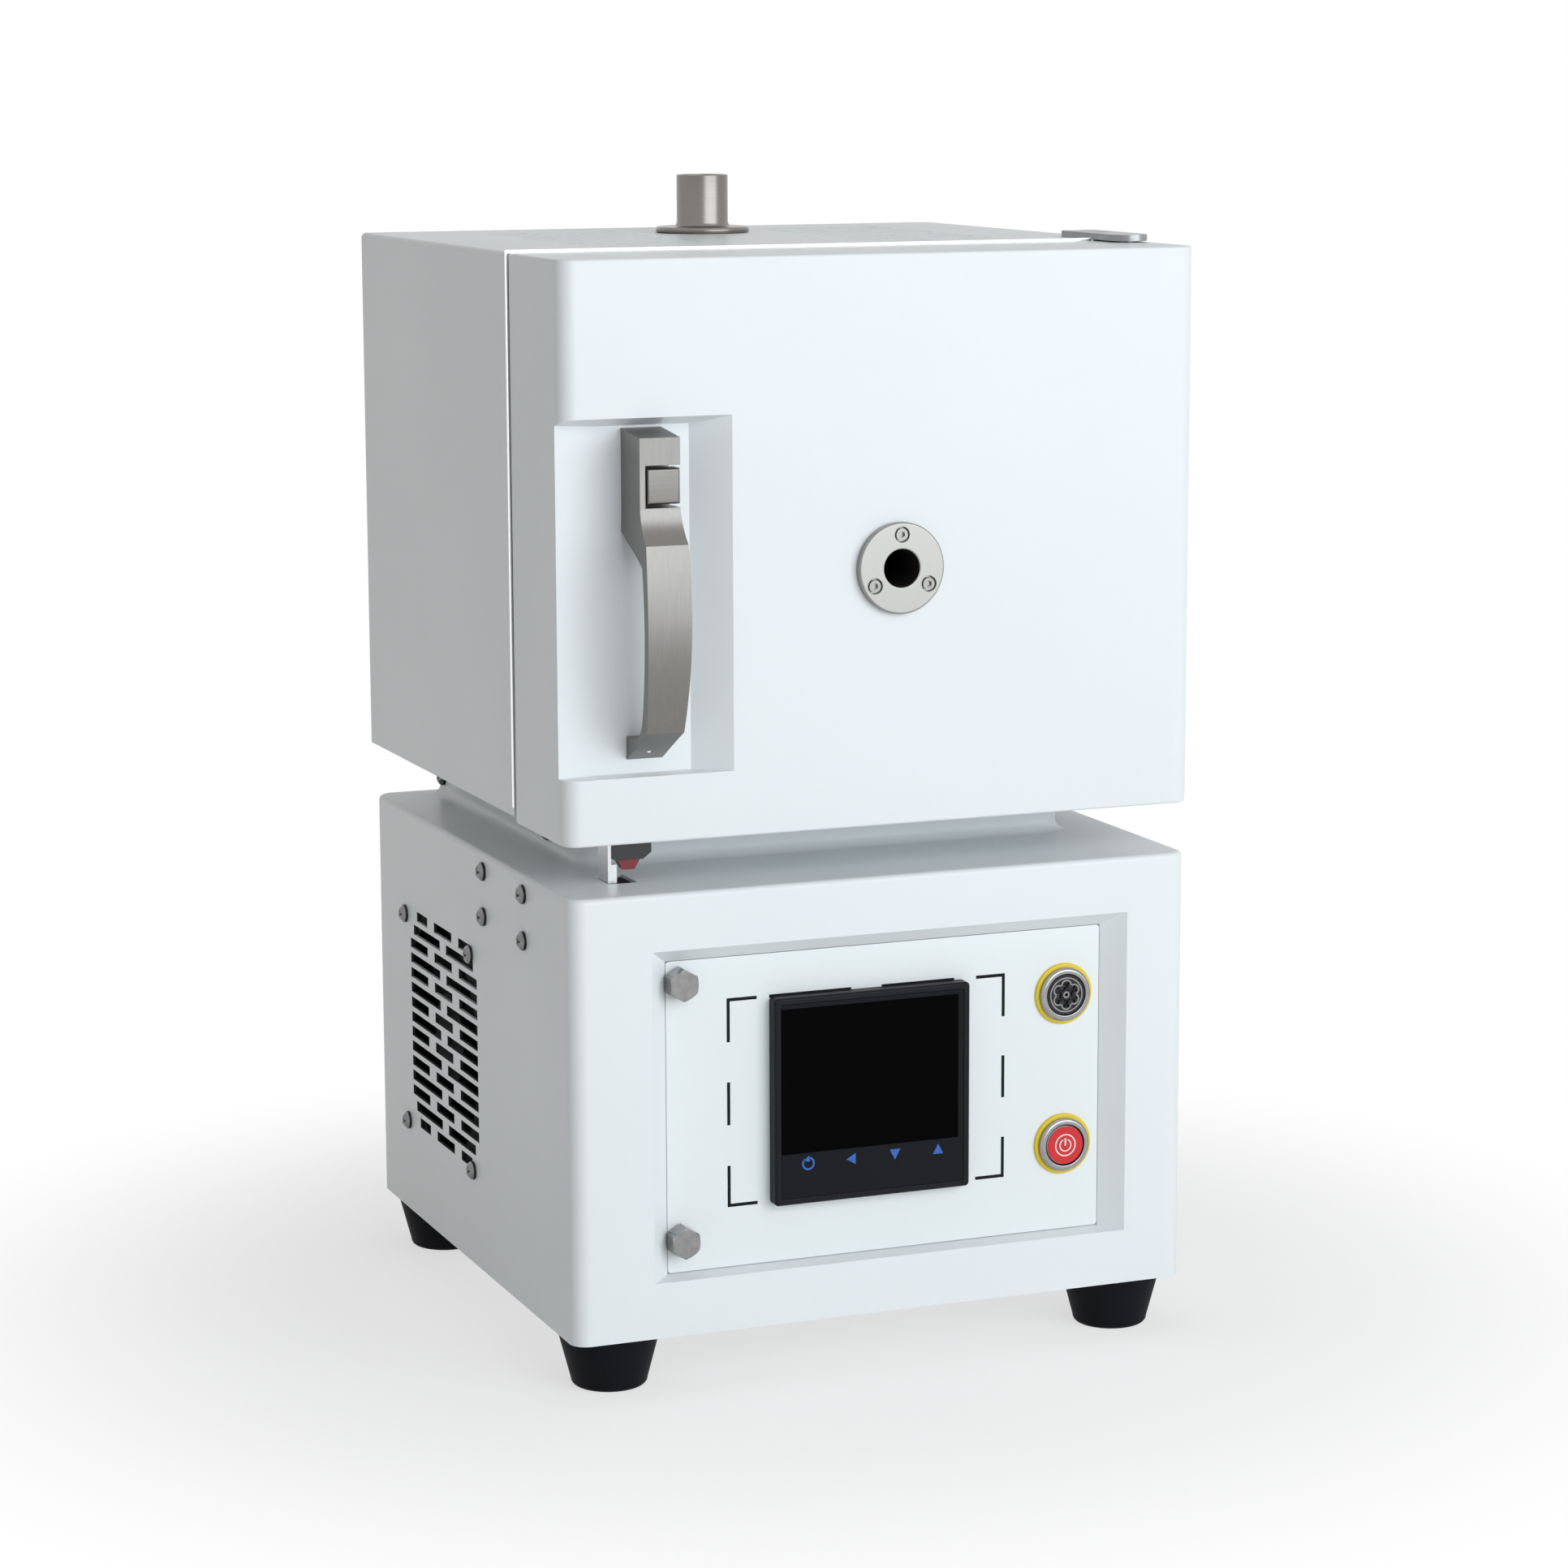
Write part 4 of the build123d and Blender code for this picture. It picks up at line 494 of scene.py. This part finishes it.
buzzer_low, buzzer_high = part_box("alarm_buzzer")
button_x = (buzzer_low.x + buzzer_high.x) / 2
buzzer_z = (buzzer_low.z + buzzer_high.z) / 2
petal_line, petal_lift = 0.0007, 0.00025
outer_ring, heart_ring, petal_radius, petal_reach = 0.0083, 0.0016, 0.0027, 0.0045
petals = ring_arc(button_x, buzzer_z, outer_ring, petal_line, 0, 360, 40)
for start in range(0, 360, 60):
    angle = math.radians(start + 30)
    petals += ring_arc(button_x + petal_reach * math.cos(angle),
                       buzzer_z + petal_reach * math.sin(angle),
                       petal_radius, petal_line, start - 90, start + 150, 14)
petals += ring_arc(button_x, buzzer_z, heart_ring, petal_line, 0, 360, 16)
flat_print("buzzer_petals", petals, buzzer_low.y, "housing", bright_zinc,
           lift=petal_lift)

power_low, power_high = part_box("power_button")
power_z = (power_low.z + power_high.z) / 2
red = plastic("red_cap", (0.72, 0.016, 0.022), (0.60, 0.010, 0.016), (0.18, 0.28))
cap_radius, cap_lift = 0.47 * (power_high.x - power_low.x), 0.0003
red_disc = [(button_x + cap_radius * math.cos(math.radians(a)),
             power_z + cap_radius * math.sin(math.radians(a))) for a in range(0, 360, 8)]
flat_print("power_cap", [red_disc], power_low.y, "power_button", red,
           lift=cap_lift)
legend = plastic("white_legend", (0.80, 0.78, 0.76), (0.72, 0.70, 0.68))
symbol_line, symbol_ring, symbol_arc = 0.0006, 0.0053, 0.0031
stroke_half, stroke_low, stroke_high = 0.0004, 0.0002, 0.0034
symbol = ring_arc(button_x, power_z, symbol_ring, symbol_line, 0, 360, 40)
symbol += ring_arc(button_x, power_z, symbol_arc, symbol_line, 115, 425, 26)
symbol.append(bar(button_x - stroke_half, button_x + stroke_half,
                  power_z - stroke_low, power_z + stroke_high))
flat_print("power_symbol", symbol, power_low.y - cap_lift, "power_button", legend)

# Pan-head screws of the side walls and the neck: pressed steel heads with a cross recess.
# They hold the fan, the grille opposite, the heat sink and the neck.
def pan_heads(name, places, radius, height, material, stands_for):
    """Domed heads with a cross recess, each at a point and facing a direction."""
    spokes, rings = 48, 14
    dome_share, dome_bend, rim_height = 0.86, 0.93, 0.37 * height
    arm_half, arm_end, arm_fade = 0.16 * radius, 0.58 * radius, 0.6 * radius
    recess_depth, under_seat = 0.5 * height, 0.001
    work = bmesh.new()
    for at, out in places:
        out = Vector(out)
        side = out.cross(Vector((0, 0, 1))).normalized()
        up = side.cross(out)
        rows = []
        for ring in range(rings + 1):
            share = ring / rings
            if share < dome_share:
                r = radius * share / dome_share
                h = height * math.sqrt(max(0.0, 1 - (share / dome_share * dome_bend) ** 2))
            else:
                r = radius
                h = rim_height * (1 - (share - dome_share) / (1 - dome_share))
            row = []
            for spoke in range(spokes if ring else 1):
                angle = 2 * math.pi * spoke / spokes
                u, v = r * math.cos(angle), r * math.sin(angle)
                near, far = min(abs(u), abs(v)), max(abs(u), abs(v))
                sunk = 0.0
                if far < arm_end:
                    sunk = (max(0.0, 1 - near / arm_half) ** 0.4
                            * max(0.0, 1 - far / arm_fade) ** 0.5)
                spot = Vector(at) + side * u + up * v + out * (h - recess_depth * sunk)
                row.append(work.verts.new(spot))
            rows.append(row)
        for inner, outer in zip(rows, rows[1:]):
            for i in range(spokes):
                j = (i + 1) % spokes
                if len(inner) == 1:
                    work.faces.new((inner[0], outer[i], outer[j]))
                else:
                    work.faces.new((inner[i], outer[i], outer[j], inner[j]))
        work.faces.new(rows[-1][::-1])
    piece = formed(name, work, material, shade_and_buzzer_steel)
    # Painted shade: the cross recess and the foot of the rim get the dark steel, which stands in
    # for the shade there.
    for face in piece.data.polygons:
        face.use_smooth = True
        for at, out in places:
            away = face.center - Vector(at)
            rise = away.dot(Vector(out))
            flat = (away - rise * Vector(out)).length
            painted_shade_recess = flat < arm_fade and (
                -under_seat < rise < 0.88 * height * math.sqrt(1 - (flat / radius) ** 2))
            painted_shade_foot = 0.97 * radius < flat < 1.05 * radius and rise < 0.4 * height
            if painted_shade_recess or painted_shade_foot:
                face.material_index = 1
    piece.data.set_sharp_from_angle(angle=math.radians(50))
    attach(piece, "housing")
    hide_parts(stands_for)


# Places of the screws: y is behind the shell's front, and z is above the floor.
front_y, base_x, neck_x = base_low.y, base_high.x, 0.121
fan_y, fan_z = (0.1461, 0.2509), (0.0718, 0.1766)
sink_y, sink_z = (0.0653, 0.1243), (0.1988, 0.2202)
neck_y, neck_z = (0.118, 0.281), 0.2383
screw_spots = [((side * base_x, front_y + y, z), (side, 0, 0))
               for y in fan_y for z in fan_z for side in (-1, 1)]
screw_spots += [((-base_x, front_y + y, z), (-1, 0, 0)) for y in sink_y for z in sink_z]
screw_spots += [((side * neck_x, front_y + y, neck_z), (side, 0, 0))
                for y in neck_y for side in (-1, 1)]
head_radius, head_height = 0.0044, 0.0034
screw_zinc = brushed_metal("screw_zinc", (0.26, 0.26, 0.26), (0.13, 0.13, 0.13), 300.0,
                           (0.12, 0.24))
pan_heads("side_screw_heads", screw_spots, head_radius, head_height, screw_zinc, "side_screws")

# Inside the base: the fan behind the grille, the relay on its extruded heat sink, the
# terminal block and the mains inlet. They are bought-in parts in their usual plastics.
fan_black = plastic("fan_black", (0.0035, 0.0035, 0.004), (0.006, 0.006, 0.0065),
                    (0.7, 0.85), 0.06)
fan_grey = plastic("fan_grey", (0.007, 0.007, 0.008), (0.011, 0.011, 0.012),
                   (0.6, 0.75), 0.08)
cream = plastic("cream_moulding", (0.70, 0.66, 0.52), (0.62, 0.58, 0.45))
grey_moulding = plastic("grey_moulding", (0.20, 0.21, 0.22), (0.16, 0.165, 0.17))
black_moulding = plastic("inlet_black", (0.014, 0.014, 0.015), (0.022, 0.022, 0.023),
                         (0.3, 0.45))
extrusion = brushed_metal("aluminium_extrusion", (0.66, 0.67, 0.68), (0.54, 0.55, 0.56),
                          900.0, direction=(1, 0.05, 1))
dress(fan_black, "fan_frame")
dress(fan_grey, "fan_rotor")
dress(cream, "solid_state_relay")
dress(extrusion, "relay_heat_sink")
dress(grey_moulding, "terminal_block")
rounded("power_inlet", 0.0004, black_moulding)

# The door switch on its bracket: a black body and a red plunger that the door's lower
# edge holds down.
dress(zinc, "switch_bracket")
dress(black_moulding, "interlock_switch")
switch_red = plastic("switch_red", (0.30, 0.012, 0.016), (0.22, 0.008, 0.01), (0.3, 0.4))
dress(switch_red, "switch_plunger")

# The heating cabinet's shell is a folded steel wrap with rows of vents in its top. A flat
# cover closes it behind, and a frame surrounds its mouth, in the base's white coat.
rounded("cabinet_shell", 0.0006, white_coat)
dress(white_coat, "cabinet_back_cover", "front_frame")

# A narrow rounded strip edges the shell's front, in a near-white mirror steel that paints the
# bright highlight along the door's seam. It stands a millimetre proud of the door's sides, and
# steps down under the top hinge.
cabinet_low, cabinet_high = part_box("cabinet_shell")
hem_out, hem_in = cabinet_high.x + 0.0010, cabinet_high.x - 0.0006
hem_top, hem_under = cabinet_high.z + 0.0009, cabinet_high.z - 0.0011
hem_step, hem_end = cabinet_high.z - 0.0002, 0.133
hem_low, hem_low_right = cabinet_low.z + 0.004, cabinet_low.z + 0.007
hem_back = cabinet_low.y
hem_front = hem_back - 0.0016
left_run = [((-hem_out, hem_low), (-hem_in, hem_low)),
            ((-hem_out, hem_top), (-hem_in, hem_under)),
            ((hem_end, hem_top), (hem_end, hem_under))]
right_run = [((hem_end, hem_step), (hem_end, hem_under)),
             ((hem_out, hem_step), (hem_in, hem_under)),
             ((hem_out, hem_low_right), (hem_in, hem_low_right))]
work = bmesh.new()
for run in (left_run, right_run):
    rows = []
    for (ox, oz), (ix, iz) in run:
        rows.append([work.verts.new((ox, hem_back, oz)), work.verts.new((ix, hem_back, iz)),
                     work.verts.new((ix, hem_front, iz)), work.verts.new((ox, hem_front, oz))])
    for near, far in zip(rows, rows[1:]):
        for i in range(4):
            j = (i + 1) % 4
            work.faces.new((near[i], near[j], far[j], far[i]))
    work.faces.new(rows[0])
    work.faces.new(rows[-1][::-1])
# Painted highlight: the strip's near-white mirror colour makes the seam's bright line.
seam_highlight_steel = brushed_metal("seam_highlight_steel", (0.96, 0.96, 0.96), (0.90, 0.90, 0.90), 200.0,
                          (0.10, 0.18))
hem = formed("seam_highlight_hem", work, seam_highlight_steel)
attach(hem, "housing")
fold = hem.modifiers.new("folded", "BEVEL")
fold.width = 0.00072
fold.segments = 4

# The cabinet's floor tray and the strike plate for the latch are zinc-plated sheet. Bright
# screws hold the covers behind.
dress(zinc, "cabinet_floor", "strike_plate")
dress(bright_zinc, "rear_screws")

# The lining: a thin stainless case round boards of ceramic fibre. The boards are vacuum
# formed, so they are soft looking, off white and slightly fibrous.
fibre, tree, shader = bare_material("ceramic_fibre")
where = shader_node(tree, "TexCoord")
strands = shader_node(tree, "TexNoise", Scale=340.0, Detail=8.0, Distortion=2.5)
clumps = shader_node(tree, "TexNoise", Scale=26.0, Detail=5.0)
fibre_tones = two_tones(tree, clumps.outputs["Fac"], (0.86, 0.84, 0.79), (0.76, 0.73, 0.66))
wire(tree,
     (where.outputs["Object"], strands.inputs["Vector"]),
     (where.outputs["Object"], clumps.inputs["Vector"]),
     (fibre_tones, shader.inputs["Base Color"]),
     (raised(tree, strands.outputs["Fac"], 0.6, 0.0008), shader.inputs["Normal"]))
shader.inputs["Roughness"].default_value = 0.95
shader.inputs["Specular IOR Level"].default_value = 0.1
dress(fibre, "insulation_left", "insulation_right", "insulation_top", "insulation_bottom",
      "insulation_back", "door_insulation")
rounded("door_plug", 0.0025, fibre, 3)
stainless = brushed_metal("brushed_stainless", (0.56, 0.55, 0.53), (0.44, 0.43, 0.415), 700.0,
                          direction=(1, 1, 0.03))
dress(stainless, "inner_case", "thermocouple")

# Heating elements: resistance wire bent back and forth in grooves of the side boards,
# dark grey where it has been hot.
oxide, tree, shader = bare_material("oxidised_wire")
scale_marks = use_group(tree, brushing, Direction=(1, 1, 1), Grain=800.0)
streak = scale_marks.outputs["Streak"]
oxide_tones = two_tones(tree, scale_marks.outputs["Cloud"], (0.13, 0.115, 0.105),
                        (0.06, 0.055, 0.052))
wire(tree,
     (oxide_tones, shader.inputs["Base Color"]),
     (between(tree, streak, 0.5, 0.75), shader.inputs["Roughness"]),
     (raised(tree, streak, 0.4, 0.0002), shader.inputs["Normal"]))
shader.inputs["Metallic"].default_value = 0.6
dress(oxide, "heater_left", "heater_right")

# The hearth plate and the flue's tube are fired ceramic, with a sandy surface. The tube
# of the peephole is near black all over.
ceramic, tree, shader = bare_material("fired_ceramic")
where = shader_node(tree, "TexCoord")
specks = shader_node(tree, "TexVoronoi", Scale=420.0)
burnt = shader_node(tree, "TexNoise", Scale=40.0, Detail=6.0)
ceramic_tones = two_tones(tree, burnt.outputs["Fac"], (0.80, 0.75, 0.66), (0.66, 0.60, 0.51))
wire(tree,
     (where.outputs["Object"], specks.inputs["Vector"]),
     (where.outputs["Object"], burnt.inputs["Vector"]),
     (ceramic_tones, shader.inputs["Base Color"]),
     (raised(tree, specks.outputs["Distance"], 0.25, 0.0003), shader.inputs["Normal"]))
shader.inputs["Roughness"].default_value = 0.72
dress(ceramic, "hearth_plate", "flue_tube")
peephole_black = grained("near_black_ceramic", (0.010, 0.009, 0.009), (0.022, 0.020, 0.019), (0.8, 0.95),
                gloss=0.1, grain=500.0)
dress(peephole_black, "peephole_tube")

# The exhaust stub is a turned stainless tube with a rolled flange on the cabinet's top.
# Turning leaves fine rings on it.
def turned_metal(name, light, dark, centre, axis, shine, metallic):
    """Metal with fine rings from turning, round an axis through a centre."""
    material, tree, shader = bare_material(name)
    spot = shader_node(tree, "TexCoord")
    moved = shader_node(tree, "VectorMath", "SUBTRACT")
    moved.inputs[1].default_value = centre
    flat = shader_node(tree, "VectorMath", "MULTIPLY")
    flat.inputs[1].default_value = [0.0 if a else 1.0 for a in axis]
    radial = shader_node(tree, "VectorMath", "LENGTH")
    along = shader_node(tree, "VectorMath", "DOT_PRODUCT")
    along.inputs[1].default_value = axis
    both = shader_node(tree, "CombineXYZ")
    rings = shader_node(tree, "TexNoise", Scale=4200.0, Detail=2.0)
    wire(tree,
         (spot.outputs["Object"], moved.inputs[0]),
         (moved.outputs[0], flat.inputs[0]),
         (flat.outputs[0], radial.inputs[0]),
         (moved.outputs[0], along.inputs[0]),
         (radial.outputs["Value"], both.inputs["X"]),
         (along.outputs["Value"], both.inputs["Y"]),
         (both.outputs[0], rings.inputs["Vector"]))
    ring = rings.outputs["Fac"]
    wire(tree,
         (two_tones(tree, ring, light, dark), shader.inputs["Base Color"]),
         (between(tree, ring, *shine), shader.inputs["Roughness"]),
         (raised(tree, ring, 0.03, 0.00001), shader.inputs["Normal"]))
    shader.inputs["Metallic"].default_value = metallic
    return material


stub_low, stub_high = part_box("exhaust_stub")
stub_centre = ((stub_low.x + stub_high.x) / 2, (stub_low.y + stub_high.y) / 2, stub_low.z)
stub_steel = turned_metal("turned_stub", (0.225, 0.21, 0.196), (0.218, 0.204, 0.19),
                          stub_centre, (0, 0, 1), (0.22, 0.34), 0.92)
rounded("exhaust_stub", 0.0005, stub_steel, 3)

# Hinges: zinc-plated steel plates over and under the door, each with a pin. Steel blocks
# inside the door turn on the pins.
hinge_zinc = brushed_metal("hinge_zinc", (0.36, 0.36, 0.37), (0.27, 0.27, 0.28), 300.0)
rounded("hinge_top", 0.0004, hinge_zinc)
rounded("hinge_bottom", 0.0004, hinge_zinc)
dress(zinc, "hinge_blocks")

# The door is a deep folded pan with rounded front corners and a sloped pocket for the
# handle, in the same white coat. A stainless plate closes it behind, with a woven seal
# round the plug.
rounded("door_skin", 0.0007, white_coat)
door_stainless = brushed_metal("door_stainless", (0.58, 0.57, 0.55), (0.46, 0.45, 0.435),
                               700.0, direction=(1, 1, 0.03))
dress(door_stainless, "door_back_plate")
seal_rope, tree, shader = bare_material("woven_seal")
where = shader_node(tree, "TexCoord")
tilt = shader_node(tree, "Mapping", Rotation=(0, math.radians(90), 0))
one_way = shader_node(tree, "TexWave", Scale=130.0, Distortion=0.8)
other_way = shader_node(tree, "TexWave", Scale=130.0, Distortion=0.8)
one_way.bands_direction = other_way.bands_direction = "DIAGONAL"
woven = shader_node(tree, "Math", "MAXIMUM")
weave = woven.outputs[0]
wire(tree,
     (where.outputs["Object"], one_way.inputs["Vector"]),
     (where.outputs["Object"], tilt.inputs["Vector"]),
     (tilt.outputs[0], other_way.inputs["Vector"]),
     (one_way.outputs["Fac"], woven.inputs[0]),
     (other_way.outputs["Fac"], woven.inputs[1]),
     (two_tones(tree, weave, (0.55, 0.53, 0.48), (0.80, 0.78, 0.72)), shader.inputs["Base Color"]),
     (raised(tree, weave, 0.7, 0.0006), shader.inputs["Normal"]))
shader.inputs["Roughness"].default_value = 0.9
dress(seal_rope, "door_seal")

# Peephole: a turned stainless flange in front of the tube, held by three socket screws
# of stainless steel.
peep_low, peep_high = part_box("peephole_flange")
peep_centre = ((peep_low.x + peep_high.x) / 2, peep_low.y, (peep_low.z + peep_high.z) / 2)
flange_steel = turned_metal("turned_flange", (0.34, 0.335, 0.32), (0.275, 0.27, 0.255),
                            peep_centre, (0, 1, 0), (0.24, 0.34), 0.95)
rounded("peephole_flange", 0.0003, flange_steel, 3)
screw_steel = brushed_metal("socket_screw_steel", (0.30, 0.295, 0.28), (0.20, 0.195, 0.185),
                            400.0, (0.16, 0.28))
rounded("peephole_screws", 0.0002, screw_steel)

# The handle is a die casting with a satin nickel finish, brushed along its length, with a
# thumb button in its head. The latch behind it is plain zinc-plated steel.
nickel = brushed_metal("satin_nickel", (0.225, 0.216, 0.205), (0.185, 0.176, 0.166), 1100.0,
                       (0.28, 0.40), 0.85, direction=(1, 1, 0.05))
rounded("handle", 0.0006, nickel, 3, 24)
button_nickel = brushed_metal("button_nickel", (0.185, 0.177, 0.167), (0.150, 0.142, 0.133),
                              1100.0, (0.28, 0.40), 0.85, direction=(0.05, 1, 1))
rounded("thumb_button", 0.0004, button_nickel, 3)
dress(zinc, "handle_screws", "latch_case", "latch_tongue")
